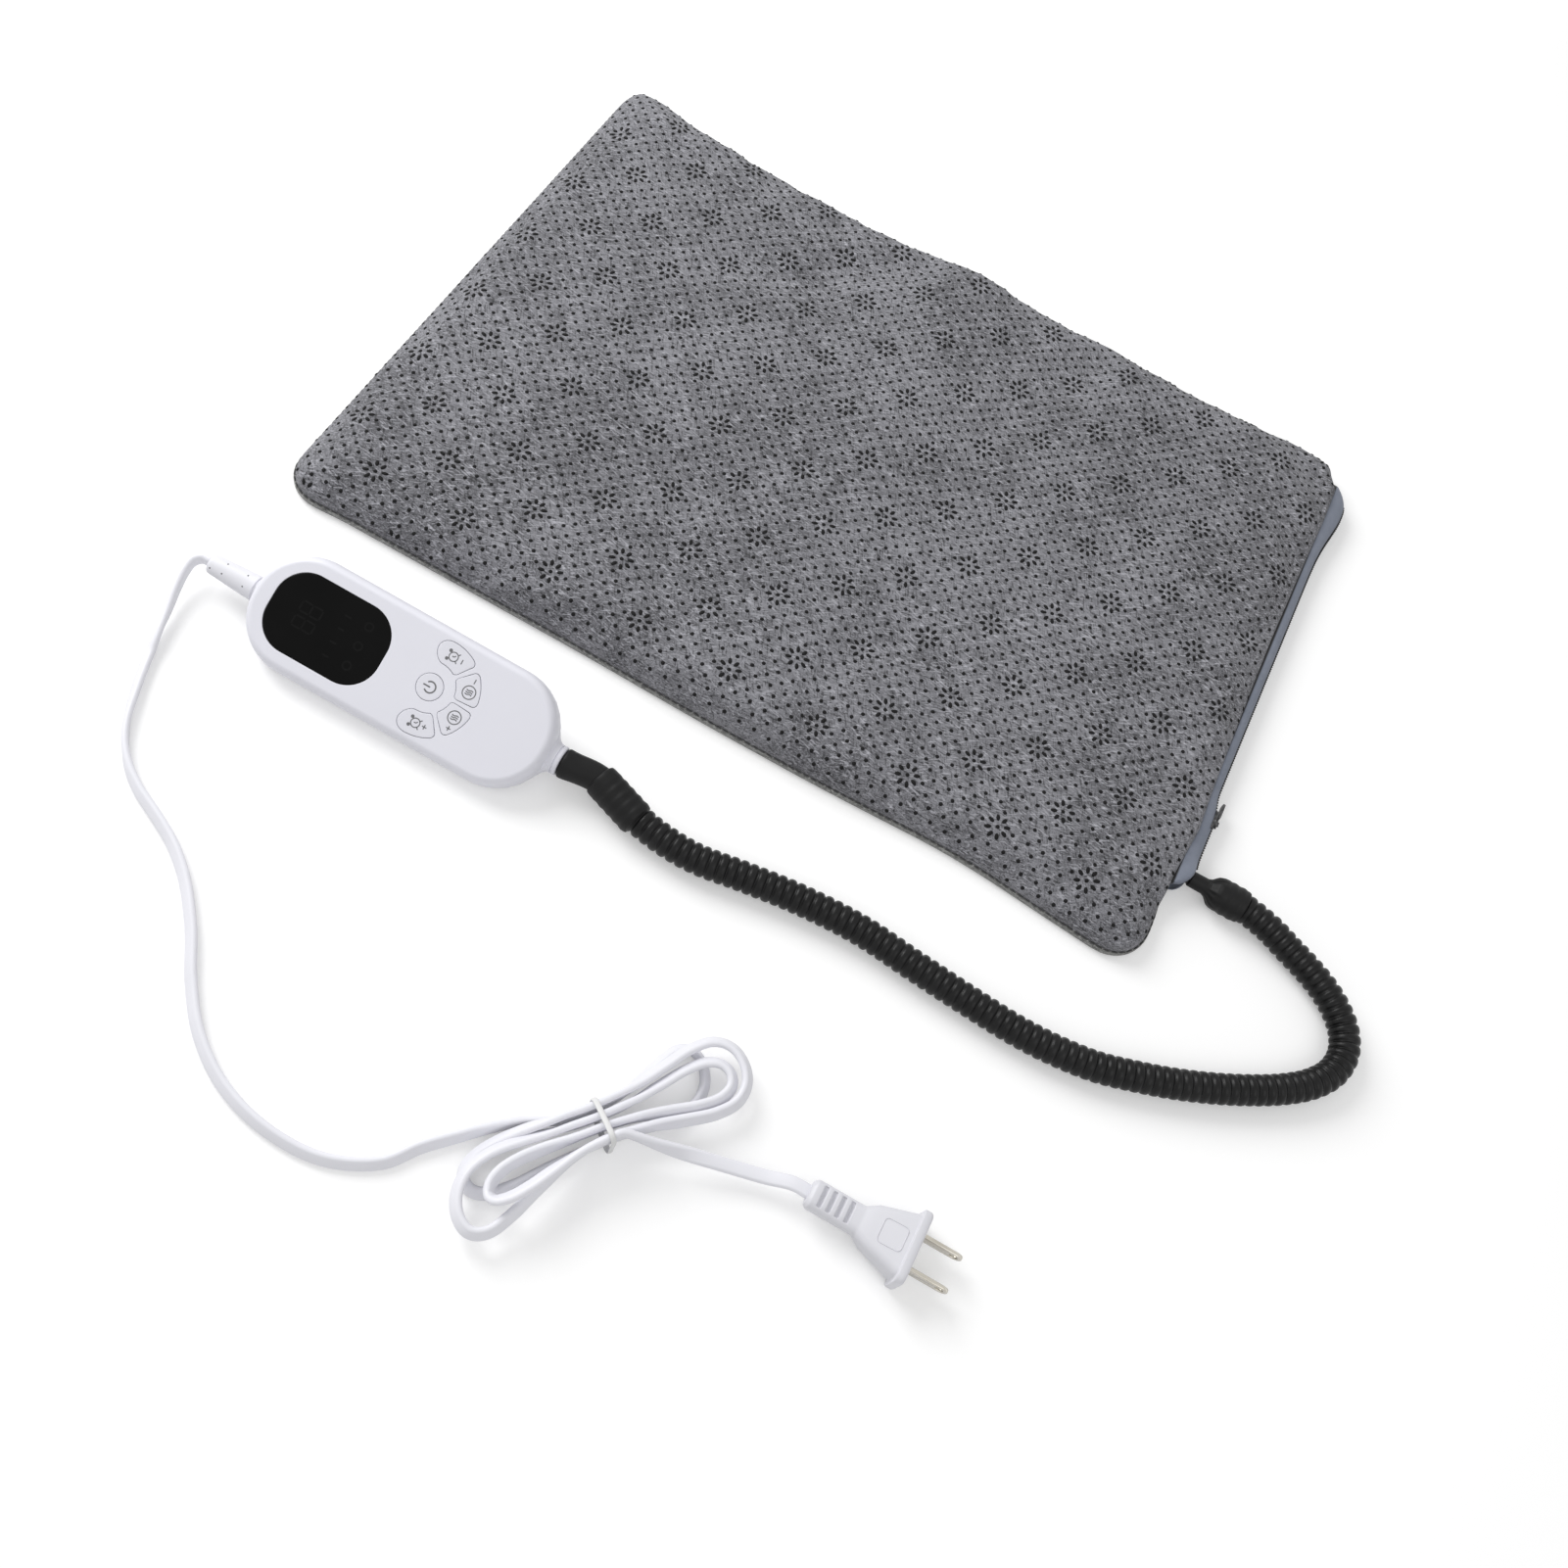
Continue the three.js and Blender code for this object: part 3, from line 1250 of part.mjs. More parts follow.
[-1, 1].forEach((side, i) => {
  const blade = plugBlade().translate(plugFace - bladeSeat + seat, plugY + (side * bladeGap) / 2, plugZ);
  place(cords, `plug_blade_${i + 1}`, blade, { color: 0xb8b4aa, roughness: 0.25, metalness: 1 });
});

const heatingPad = new THREE.Group();
heatingPad.add(pad, controller, cords);

export default heatingPad;
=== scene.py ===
"""A heating pad in a zipped felt cover, with a ribbed hose to a hand controller and a mains cord tied in a
hank before its plug. Metres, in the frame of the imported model: X along the pad, +Y to its back, +Z up.
"""

import json
import math

import bmesh
import bpy
import numpy as np
from mathutils import Matrix, Vector, noise


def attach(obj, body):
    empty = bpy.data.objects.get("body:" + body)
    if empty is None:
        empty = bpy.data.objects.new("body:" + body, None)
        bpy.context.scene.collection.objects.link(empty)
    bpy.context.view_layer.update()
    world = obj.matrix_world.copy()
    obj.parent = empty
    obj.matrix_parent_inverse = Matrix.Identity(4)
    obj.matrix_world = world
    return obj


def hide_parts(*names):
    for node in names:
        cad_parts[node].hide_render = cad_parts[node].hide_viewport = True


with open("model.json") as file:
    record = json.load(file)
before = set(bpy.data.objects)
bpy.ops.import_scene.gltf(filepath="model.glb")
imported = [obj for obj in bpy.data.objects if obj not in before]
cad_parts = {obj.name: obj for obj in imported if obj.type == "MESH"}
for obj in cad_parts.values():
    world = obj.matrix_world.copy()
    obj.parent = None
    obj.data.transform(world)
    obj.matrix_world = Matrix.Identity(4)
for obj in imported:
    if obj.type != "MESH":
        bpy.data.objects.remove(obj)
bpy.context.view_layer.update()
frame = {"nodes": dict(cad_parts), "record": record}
scene = bpy.context.scene
whole = "pad_and_controller"

# Camera: a lens of about 35 mm, looking down at 62 degrees from in front of the pad and to its right.
# The camera is rolled, so that the pad lies across the picture at a slant.
image_size = 1601
focal_pixels = 1546.75
camera_place = Vector((0.06308, -0.44078, 0.54014))
pitch, roll, yaw = 1.07864, 0.44766, -0.0747

level_right = Vector((math.cos(yaw), -math.sin(yaw), 0))
looking = Vector((math.sin(yaw) * math.cos(pitch), math.cos(yaw) * math.cos(pitch), -math.sin(pitch)))
level_up = level_right.cross(looking)
picture_right = math.cos(roll) * level_right + math.sin(roll) * level_up
picture_up = math.cos(roll) * level_up - math.sin(roll) * level_right
camera_data = bpy.data.cameras.new("camera")
camera_data.sensor_width = 36
camera_data.lens = focal_pixels * camera_data.sensor_width / image_size
camera_data.clip_start = 0.01
camera = bpy.data.objects.new("camera", camera_data)
camera.matrix_world = (
    Matrix.Translation(camera_place) @ Matrix((picture_right, picture_up, -looking)).transposed().to_4x4()
)
scene.collection.objects.link(camera)
scene.camera = camera


# Hose: a corrugated sleeve of black polyethylene that carries the lead from the controller to the pad.
# Its ribs are broad and rounded, with a narrow groove between each pair.
class Value:
    """One output in a node tree. Sums and products of values add Math nodes to that tree."""

    def __init__(self, tree, socket):
        self.tree = tree
        self.socket = socket

    def output(self, name):
        return Value(self.tree, self.socket.node.outputs[name])

    def math(self, operation, *others):
        terms = dict(enumerate((self, *others)))
        return self.tree.node("ShaderNodeMath", terms, operation=operation)

    def __add__(self, other):
        return self.math("ADD", other)

    def __sub__(self, other):
        return self.math("SUBTRACT", other)

    def __rsub__(self, other):
        return self.math("MULTIPLY_ADD", -1, other)

    def __mul__(self, other):
        return self.math("MULTIPLY", other)

    def __truediv__(self, other):
        return self.math("DIVIDE", other)

    def __gt__(self, other):
        return self.math("GREATER_THAN", other)

    def ramp(self, low, high):
        """0 below low, 1 above high, and a smooth step between them."""
        sockets = {"Value": self, "From Min": low, "From Max": high}
        return self.tree.node("ShaderNodeMapRange", sockets, interpolation_type="SMOOTHSTEP")


class NodeTree:
    """Adds nodes to a shader or geometry tree and links them."""

    def __init__(self, tree):
        self.tree = tree

    def node(self, kind, sockets=None, output=0, **settings):
        made = self.tree.nodes.new(kind)
        for name, value in settings.items():
            setattr(made, name, value)
        for name, value in (sockets or {}).items():
            if isinstance(value, Value):
                self.tree.links.new(value.socket, made.inputs[name])
            else:
                made.inputs[name].default_value = value
        return Value(self, made.outputs[output]) if made.outputs else None


class Finish(NodeTree):
    """A material with one Principled shader; its patterns read Object coordinates, in metres."""

    def __init__(self, name, **uniform):
        self.material = bpy.data.materials.new(name)
        self.material.use_nodes = True
        super().__init__(self.material.node_tree)
        self.shader = self.tree.nodes["Principled BSDF"]
        for socket, value in uniform.items():
            self.shader.inputs[socket.replace("_", " ")].default_value = value
        self.place = self.node("ShaderNodeTexCoord", output="Object")

    def noise(self, scale, detail=2, stretch=(1, 1, 1), turn=(0, 0, 0), roughness=0.5):
        """Fractal noise; stretch makes its grain that many times longer along each axis, once turned."""
        sockets = {"Vector": self.place, "Rotation": turn, "Scale": stretch}
        turned = self.node("ShaderNodeMapping", sockets, vector_type="TEXTURE")
        sockets = {"Vector": turned, "Scale": scale, "Detail": detail, "Roughness": roughness}
        return self.node("ShaderNodeTexNoise", sockets)

    def mix(self, share, first, second):
        sockets = {0: share, 6: first, 7: second}
        return self.node("ShaderNodeMix", sockets, output=2, data_type="RGBA")

    def drive(self, socket, value):
        self.tree.links.new(value.socket, self.shader.inputs[socket])

    def colour(self, share, first, second):
        self.drive("Base Color", self.mix(share, first, second))

    def bump(self, height, depth, strength=1):
        sockets = {"Height": height, "Distance": depth, "Strength": strength}
        self.drive("Normal", self.node("ShaderNodeBump", sockets))


def grey(level, tint=0.0):
    """A grey of that linear level, a little bluer with a tint above 0 and warmer below it."""
    return (level, level, level * (1 + tint), 1)


def rubber(name, level, roughness, grain):
    """Black rubber: a dull skin that is a little cloudy, with a fine grain."""
    finish = Finish(name, Specular_IOR_Level=0.2)
    cloud = finish.noise(90, 3)
    low, high = (grey(share * level, 0.03) for share in (0.8, 1.25))
    finish.colour(cloud.ramp(0.3, 0.7), low, high)
    finish.drive("Roughness", cloud * 0.16 + (roughness - 0.08))
    finish.bump(finish.noise(grain, 2), 0.00006)
    return finish.material


def route(points, spacing):
    """Points an even spacing apart on a smooth curve through the given ones."""
    knots = np.array(points, float)
    knots = np.vstack([2 * knots[0] - knots[1], knots, 2 * knots[-1] - knots[-2]])
    line = []
    for p0, p1, p2, p3 in zip(knots, knots[1:], knots[2:], knots[3:]):
        d0, d1, d2 = (math.sqrt(np.linalg.norm(b - a)) for a, b in ((p0, p1), (p1, p2), (p2, p3)))
        slope_1 = d1 * ((p1 - p0) / d0 - (p2 - p0) / (d0 + d1) + (p2 - p1) / d1)
        slope_2 = d1 * ((p2 - p1) / d1 - (p3 - p1) / (d1 + d2) + (p3 - p2) / d2)
        for t in np.linspace(0, 1, 24, endpoint=False):
            start = (2 * t**3 - 3 * t**2 + 1) * p1 + (t**3 - 2 * t**2 + t) * slope_1
            line.append(start + (3 * t**2 - 2 * t**3) * p2 + (t**3 - t**2) * slope_2)
    return evenly(np.array([*line, knots[-2]]), spacing)


def metres(*table):
    """Rows of lengths that are written in millimetres."""
    return [tuple(0.001 * length for length in row) for row in table]


def travelled(line):
    """How far along a line each of its points is."""
    return np.concatenate([[0], np.cumsum(np.linalg.norm(np.diff(line, axis=0), axis=1))])


def evenly(line, spacing):
    run = travelled(line)
    stops = np.linspace(0, run[-1], round(run[-1] / spacing) + 1)
    return np.column_stack([np.interp(stops, run, line[:, axis]) for axis in range(3)])


def piece(name, points, faces, material, edges=()):
    mesh = bpy.data.meshes.new(name)
    mesh.from_pydata([tuple(point) for point in points], edges, faces)
    mesh.shade_smooth()
    if material:
        mesh.materials.append(material)
    made = bpy.data.objects.new(name, mesh)
    scene.collection.objects.link(made)
    return made


def threaded(name, line):
    """A chain of edges through the points of a line, for a node tree to dress."""
    return piece(name, line, [], None, [(i, i + 1) for i in range(len(line) - 1)])


def placed(made, slot, *stands_for, body=whole):
    """Fixes a piece to its body, in place of the solids it stands for. Its slot argument is not used."""
    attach(made, body)
    if stands_for:
        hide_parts(*stands_for)
    return made


def settled(obj):
    """Turns what an object's modifiers make into its own plain mesh."""
    bpy.context.view_layer.update()
    evaluated = obj.evaluated_get(bpy.context.evaluated_depsgraph_get())
    mesh = bpy.data.meshes.new_from_object(evaluated)
    obj.modifiers.clear()
    obj.data = mesh
    return obj


socket_kinds = {float: "NodeSocketFloat", tuple: "NodeSocketVector", bpy.types.Object: "NodeSocketObject"}


def geometry_tree(name, sizes):
    """A Geometry Nodes tree that takes a mesh and named sizes; gives the tree and its inputs as values."""
    group = bpy.data.node_groups.new(name, "GeometryNodeTree")
    group.interface.new_socket("Geometry", in_out="INPUT", socket_type="NodeSocketGeometry")
    for label, size in sizes.items():
        group.interface.new_socket(label, in_out="INPUT", socket_type=socket_kinds[type(size)])
    group.interface.new_socket("Geometry", in_out="OUTPUT", socket_type="NodeSocketGeometry")
    tree = NodeTree(group)
    tree.sizes = sizes
    source = tree.node("NodeGroupInput")
    return tree, {socket.name: Value(tree, socket) for socket in source.socket.node.outputs if socket.name}


def grown(obj, tree, made, material):
    """Ends a tree in realized, smooth, finished geometry, runs it on an object and keeps the mesh."""
    real = tree.node("GeometryNodeRealizeInstances", {"Geometry": made})
    smooth = tree.node("GeometryNodeSetShadeSmooth", {"Geometry": real})
    dressed = tree.node("GeometryNodeSetMaterial", {"Geometry": smooth, "Material": material})
    tree.node("NodeGroupOutput", {"Geometry": dressed})
    modifier = obj.modifiers.new(tree.tree.name, "NODES")
    modifier.node_group = tree.tree
    for item in tree.tree.interface.items_tree:
        if item.in_out == "INPUT" and item.name in tree.sizes:
            modifier[item.identifier] = tree.sizes[item.name]
    return settled(obj)


boot_start = Vector((-0.0361, -0.19689, 0.01041))
boot_end = Vector((-0.018, -0.1958, 0.00925))
hose_heading = Vector((0.952, -0.292, -0.09)).normalized()
hose_start = boot_end + 0.0003 * hose_heading
hose_end = Vector((0.218, -0.101, 0.00738))
hose_rest = 0.00635
hose_on_table = metres(
    (27, -202.7), (46, -199.5), (68, -196.3), (95, -194.7), (121, -196.6), (145, -198.2), (167, -199.1),
    (184, -198.2), (200, -195.8), (215, -191.3), (230, -185.9), (245, -179.3), (259, -172), (271.2, -164.4),
    (280.7, -156.5), (287.2, -147.5), (289.3, -137.6), (286.6, -128.4), (280.6, -121), (273, -115.3),
    (264.2, -110.9), (254.4, -107.1),
)
hose_line = route([
    hose_start, hose_start + 0.0125 * hose_heading, (0.0022, -0.2014, 0.0074), (0.014, -0.2029, 0.0069),
    *((x, y, hose_rest) for x, y in hose_on_table),
    (0.2434, -0.1036, hose_end.z), (0.2305, -0.101, hose_end.z), hose_end,
], 0.002)
hose_diameter = 0.0125
groove_depth = 0.0012
rib_pitch = 0.0039
hose_black = rubber("hose_black", 0.006, 0.32, 2600)

hose = threaded("ribbed_hose_skin", hose_line)
ribs = {"Diameter": hose_diameter, "Groove": groove_depth, "Pitch": rib_pitch}
tree, size = geometry_tree("hose_ribs", ribs)
spine = tree.node("GeometryNodeMeshToCurve", {"Mesh": size["Geometry"]})
divided = {"Curve": spine, "Length": size["Pitch"] / 10}
spine = tree.node("GeometryNodeResampleCurve", divided, mode="LENGTH")
along = tree.node("GeometryNodeSplineParameter", output="Length")
phase = (along / size["Pitch"]).math("FRACT")
from_crest = (phase - 0.5).math("ABSOLUTE") * 2
radius = size["Diameter"] / 2 - size["Groove"] * from_crest * from_crest * from_crest
section = tree.node("GeometryNodeCurvePrimitiveCircle", {"Resolution": 28, "Radius": 1.0})
skin = tree.node("GeometryNodeCurveToMesh", {
    "Curve": spine, "Profile Curve": section, "Scale": radius, "Fill Caps": True,
})
grown(hose, tree, skin, hose_black)
placed(hose, "black_rubber", "ribbed_hose")


# Boot and sleeves: a smooth moulded boot on the controller's neck, and heat-shrink sleeves over both ends
# of the hose. The one at the controller shows the ribs under it; the one at the pad is creased to a nose.
def frames(line):
    """The run, left and up directions at each point of a line, with left kept level."""
    ahead = np.gradient(line, axis=0)
    ahead /= np.linalg.norm(ahead, axis=1)[:, None]
    left = np.cross((0, 0, 1), ahead)
    left /= np.linalg.norm(left, axis=1)[:, None]
    return ahead, left, np.cross(ahead, left)


def bands(count, sides, closed=False):
    """Faces between one ring of points and the next, for that many rings, and back to the first if closed."""
    faces = []
    for i in range(count if closed else count - 1):
        here, there = i * sides, (i + 1) % count * sides
        for j in range(sides):
            k = (j + 1) % sides
            faces.append((here + j, here + k, there + k, there + j))
    return faces


def swept(name, line, section_at, material):
    """A closed tube along a line; section_at(i) gives the ring's (left, up) offsets at point i."""
    _, left, up = frames(line)
    points = []
    for i, centre in enumerate(line):
        points += [centre + x * left[i] + y * up[i] for x, y in section_at(i)]
    sides = len(points) // len(line)
    ends = [tuple(range(sides))[::-1], tuple(range(len(points) - sides, len(points)))]
    return piece(name, points, bands(len(line), sides) + ends, material)


def between(x, low, high):
    """How far x is from low to high, from 0 to 1."""
    return min(max((x - low) / (high - low), 0), 1)


def bell(x, centre, width):
    return math.exp(-(((x - centre) / width) ** 2))


def ring(radius, sides=36, crease=lambda angle: 0.0):
    """Points of a circle, pushed out at each angle by the crease there."""
    turns = [2 * math.pi * j / sides for j in range(sides)]
    return [((radius + crease(a)) * math.cos(a), (radius + crease(a)) * math.sin(a)) for a in turns]


def profile(stations, spacing=0.0004):
    """Even stops along a turned profile of (along, radius) stations, and the radius at each of them."""
    stops = np.arange(stations[0][0], stations[-1][0] + spacing / 2, spacing)
    return stops, np.interp(stops, *zip(*stations))


shrink_black = rubber("shrink_black", 0.006, 0.48, 1500)

boot_bend = [boot_start, boot_start + Vector((0.006, 0, 0)), boot_end - 0.006 * hose_heading, boot_end]
boot_line = evenly(np.array([
    sum(math.comb(3, k) * (1 - t) ** (3 - k) * t**k * np.array(p) for k, p in enumerate(boot_bend))
    for t in np.linspace(0, 1, 60)
]), 0.0004)
boot_radius, boot_round, boot_swell = 0.0058, 0.0007, 0.0004
boot_sizes = [
    boot_radius - boot_round * math.exp(-run / 0.0004) + boot_swell * bell(run, 0, 0.004)
    for run in travelled(boot_line)
]
boot = swept("hose_boot_skin", boot_line, lambda i: ring(boot_sizes[i]), shrink_black)
placed(boot, "black_rubber", "hose_boot")

sleeve_radius = 0.0071
sleeve_ripple, pad_sleeve_ripple = 0.00015, 0.00016
crease_depth = 0.00038
stops, sleeve_sizes = profile([
    (-0.0032, 0.0062), (-0.0029, 0.0068), (-0.0018, 0.00705), (0.0, sleeve_radius), (0.0178, sleeve_radius),
    (0.0187, 0.00695), (0.019, 0.0065),
])
sleeve_line = np.array([hose_start + hose_heading * s for s in stops])
sleeve_sizes += sleeve_ripple * np.sin(2 * np.pi * stops / rib_pitch) * np.clip(stops / 0.003, 0, 1)
sleeve_controller = swept(
    "hose_sleeve_controller_skin", sleeve_line, lambda i: ring(sleeve_sizes[i]), shrink_black,
)
placed(sleeve_controller, "black_rubber", "hose_sleeve_controller")

stops, pad_sleeve_sizes = profile([
    (0.2056, 0.0030), (0.2058, 0.0034), (0.2128, 0.0035), (0.2145, 0.0041), (0.2168, 0.0062),
    (0.2185, 0.0070), (0.2205, 0.00722), (0.2295, 0.00718), (0.2303, 0.0069), (0.2306, 0.0064),
])
pad_sleeve_line = np.array([(x, hose_end.y, hose_end.z) for x in stops])


def pad_sleeve_ring(i):
    x, size = stops[i], pad_sleeve_sizes[i]
    drawn = bell(x, 0.2165, 0.0028)
    ribs = pad_sleeve_ripple * math.sin(2 * math.pi * x / rib_pitch) * between(x, 0.2185, 0.2215)
    return ring(size + ribs, 48, lambda a: drawn * crease_depth * math.sin(7 * a + 9 * math.sin(3 * a)))


sleeve_pad = swept("hose_sleeve_pad_skin", pad_sleeve_line, pad_sleeve_ring, shrink_black)
placed(sleeve_pad, "black_rubber", "hose_sleeve_pad")

# Lead: a round two-core cable with a black jacket, from the bag's gland through the hose to the controller.
lead_radius = 0.0026
lead_line = route([
    (0.176, hose_end.y, 0.0062), (0.19, hose_end.y, 0.0062), (0.2002, hose_end.y, 0.0063),
    (0.2045, hose_end.y, 0.0070), (0.208, hose_end.y, hose_end.z), (0.213, hose_end.y, hose_end.z),
    *hose_line[::-8], *boot_line[::-10], boot_start + Vector((-0.011, 0, 0)),
], 0.0025)
lead_black = rubber("lead_black", 0.02, 0.45, 2200)
lead = swept("lead_jacket", lead_line, lambda i: ring(lead_radius, 20), lead_black)
placed(lead, "black_rubber", "lead_cable")

# Mains cord: white flat two-core flex with a shallow groove down each face. It leaves the bush on edge,
# leans over on the table, and is tied in a hank of three turns before the plug.
cord_width = 0.0054
cord_thickness = 0.0028
table_gap = 0.0001
flat_rest = cord_thickness / 2 + table_gap
edge_rest = cord_width / 2 + table_gap
bush_end = Vector((-0.1942, -0.19689, 0.01041))
hank_centre = Vector((0.0475, -0.310, 0))
hank_angle = math.radians(51)
hank_along = Vector((math.cos(hank_angle), math.sin(hank_angle), 0))
hank_across = Vector((-math.sin(hank_angle), math.cos(hank_angle), 0))


def hank_at(along, across, height):
    return hank_centre + along * hank_along + across * hank_across + Vector((0, 0, height))


def step(x, low, high):
    """As between, with a smooth start and end."""
    t = between(x, low, high)
    return t * t * (3 - 2 * t)


hank_turns = 3
layer_rise = cord_width + 0.0007
waist_lift = 0.0012
# Lobes in the order the cord makes them, right and left in turn: reach, swell and lean in millimetres;
# and where the cord passes the waist before, between and after them.
lobes = [(43, 18, 8), (50, 11, -1.3), (56, 23, 1.5), (56, 23.5, -10.5), (50, 16, -0.5), (44, -10, -5)]
waist_passes = [6.9, -5, 7, -5.4, 2.8, -1.2, -6.6]


def hank_point(turn):
    """The cord's centre after that many turns: the first turn lies below, and the last lobe ends on top."""
    lobe = min(int(2 * turn), 2 * hank_turns - 1)
    reach, swell, lean = lobes[lobe]
    angle = math.pi / 2 - 2 * math.pi * turn
    along = 0.001 * reach * math.cos(angle)
    passed = (1 - (-1 if lobe % 2 else 1) * math.sin(angle)) / 2
    waist = waist_passes[lobe] + (waist_passes[lobe + 1] - waist_passes[lobe]) * passed
    across = 0.001 * (waist + (swell * math.sin(angle) + lean) * math.cos(angle) ** 2)
    rise = step(turn, 0.835, 0.945) + step(turn, 2.72, 2.84)
    lift = waist_lift * bell(along, 0, 0.014)
    return hank_at(along, across, edge_rest + lift + layer_rise * rise)


plug_start = Vector((0.1226, -0.2942, 0.0086))
run_down = metres(
    (-200.9, -199.5, 9.5), (-201.2, -204, 8.4), (-200, -211.5, 6.6), (-197.2, -221.5, 4.9),
    (-194.3, -232.4, 3.7),
)
run_on_table = metres(
    (-191, -243.6), (-187, -254.3), (-182.1, -265.2), (-177.7, -272.4), (-173, -278), (-167.5, -282.8),
    (-160.3, -287.3), (-152.4, -290.9), (-145, -294.4), (-137.1, -298.8), (-126.5, -307), (-113.5, -321),
    (-102, -336.5), (-88, -351), (-70.5, -361.5), (-50, -366.6), (-28.5, -365.6), (-11, -357),
)
run_by_hank = metres((-60, 16.2), (-48, 15.3), (-36, 14.1), (-24, 12))
run_route = [
    bush_end, bush_end - Vector((0.004, 0, 0)), *run_down, *((x, y, flat_rest) for x, y in run_on_table),
    *(hank_at(along, across, edge_rest) for along, across in run_by_hank),
    hank_point(0) - 0.0113 * hank_along, hank_point(0) - 0.0054 * hank_along,
]
hank_route = [hank_point(i / 24) for i in range(hank_turns * 24 + 1)]
tail_from_hank = metres(
    (8.5, -9.2, 15.1), (13, -12.6, 13.4), (19, -17, 11.3), (28, -23.2, 8.6), (38.5, -30.6, 6.4),
    (48, -37.8, 6.4),
)
tail_route = [
    hank_point(hank_turns) + 0.0045 * hank_along, *(hank_at(*place) for place in tail_from_hank),
    plug_start - Vector((0.0059, 0, 0)), plug_start + Vector((0.001, 0, 0)),
]
cord_line = route([*run_route, *hank_route, *tail_route], 0.0012)
cord_run = travelled(cord_line)
run_end = travelled(route(run_route, 0.0012))[-1]
tail_start = cord_run[-1] - travelled(route(tail_route, 0.0012))[-1]
run_lean, lobe_lean = 48, 38


def on_edge(along, centre):
    """How far the cord is turned up, in radians: on edge at the bush, at a twist and at the hank's waist."""
    share = along / run_end
    upright = 1 - step(share, 0.06, 0.15) + step(share, 0.86, 0.97)
    twist = bell(share, 0.24, 0.045)
    turned = run_lean + (90 - run_lean) * upright + (85 - run_lean) * twist
    if run_end < along < tail_start:
        from_waist = abs((Vector(centre) - hank_centre).dot(hank_along))
        turned += lobe_lean * step(from_waist, 0.007, 0.026)
    out_of_hank = (along - tail_start) / (cord_run[-1] - tail_start)
    return math.radians(turned) * (1 - step(out_of_hank, 0.05, 0.5))


def cord_ring(along, centre):
    """Two round cores side by side, bridged by the jacket, turned about the cord's middle."""
    core = cord_thickness / 2
    spread = cord_width / 2 - core
    ring_points = []
    for side, low in ((1, -76), (-1, 104)):
        for angle in np.radians(np.linspace(low, low + 152, 11)):
            ring_points.append((side * spread + core * math.cos(angle), core * math.sin(angle)))
    groove = 0.86 * core
    ring_points.insert(11, (0, groove))
    ring_points.append((0, -groove))
    turn = on_edge(along, centre)
    cos, sin = math.cos(turn), math.sin(turn)
    return [(x * cos - y * sin, x * sin + y * cos) for x, y in ring_points]


cord_rings = [cord_ring(along, centre) for along, centre in zip(cord_run, cord_line)]
for centre, around in zip(cord_line, cord_rings):
    centre[2] = max(centre[2], table_gap - min(y for _, y in around))


def vinyl(name, level, roughness, tint=0.06):
    """Soft white vinyl: an even, slightly cool white with a satin skin."""
    finish = Finish(name, Specular_IOR_Level=0.42)
    cloud = finish.noise(40, 2)
    low, high = (grey(share * level, tint) for share in (0.965, 1))
    finish.colour(cloud.ramp(0.25, 0.75), low, high)
    finish.drive("Roughness", cloud * 0.14 + (roughness - 0.07))
    finish.bump(finish.noise(5200, 1), 0.000015)
    return finish.material


mains_cord = swept("mains_cord", cord_line, lambda i: cord_rings[i], vinyl("cord_white", 0.82, 0.42))
placed(mains_cord, "white_cord", "mains_cord_run", "mains_cord_hank", "mains_cord_tail")

# Tie: a thin white plastic strip, drawn tight round the hank's waist and over the run on top of it.
tie_shape = metres(
    (-9, 3), (-7.4, 0.8), (-4, 0.6), (0, 0.6), (4, 0.6), (7.6, 0.8), (9.1, 3), (9.2, 7.5), (9.1, 11.8),
    (7.6, 14), (2, 16.8), (-4.6, 19.6), (-6.8, 19.9), (-8.6, 18.8), (-9.1, 16.5), (-9.1, 9.5),
)
loop = [hank_at(0, across, height) for across, height in tie_shape]
loop_line = route([*loop[-2:], *loop, *loop[:2]], 0.0005)
nearest = np.linalg.norm(loop_line - np.array(loop[0]), axis=1)
half_way = len(loop_line) // 2
start_at = int(np.argmin(nearest[:half_way]))
end_at = half_way + int(np.argmin(nearest[half_way:]))
loop_line = loop_line[start_at:end_at]
tie_width, tie_thickness, tie_sides = 0.0021, 0.0007, 12
tie_middle = np.array(hank_at(0, 0, 0.0095))
tie_points = []
for i, centre in enumerate(loop_line):
    out = np.cross(hank_along, loop_line[(i + 1) % len(loop_line)] - loop_line[i - 1])
    out *= math.copysign(1, np.dot(out, centre - tie_middle)) / np.linalg.norm(out)
    for across, proud in ring(0.5, tie_sides):
        tie_points.append(centre + across * tie_width * np.array(hank_along) + proud * tie_thickness * out)
tie_faces = bands(len(loop_line), tie_sides, closed=True)
tie = piece("cord_tie_strip", tie_points, tie_faces, vinyl("tie_white", 0.74, 0.5, 0.0))
shape = bmesh.new()
shape.from_mesh(tie.data)
bmesh.ops.recalc_face_normals(shape, faces=shape.faces)
shape.to_mesh(tie.data)
shape.free()
placed(tie, "white_cord", "cord_tie")


# Plug: moulded in the same white vinyl, with a slotted grip, and two flat nickel-plated blades.
def from_shape(name, shape, material):
    """A piece from a bmesh, which is let go."""
    made = piece(name, [], [], material)
    shape.to_mesh(made.data)
    shape.free()
    return made


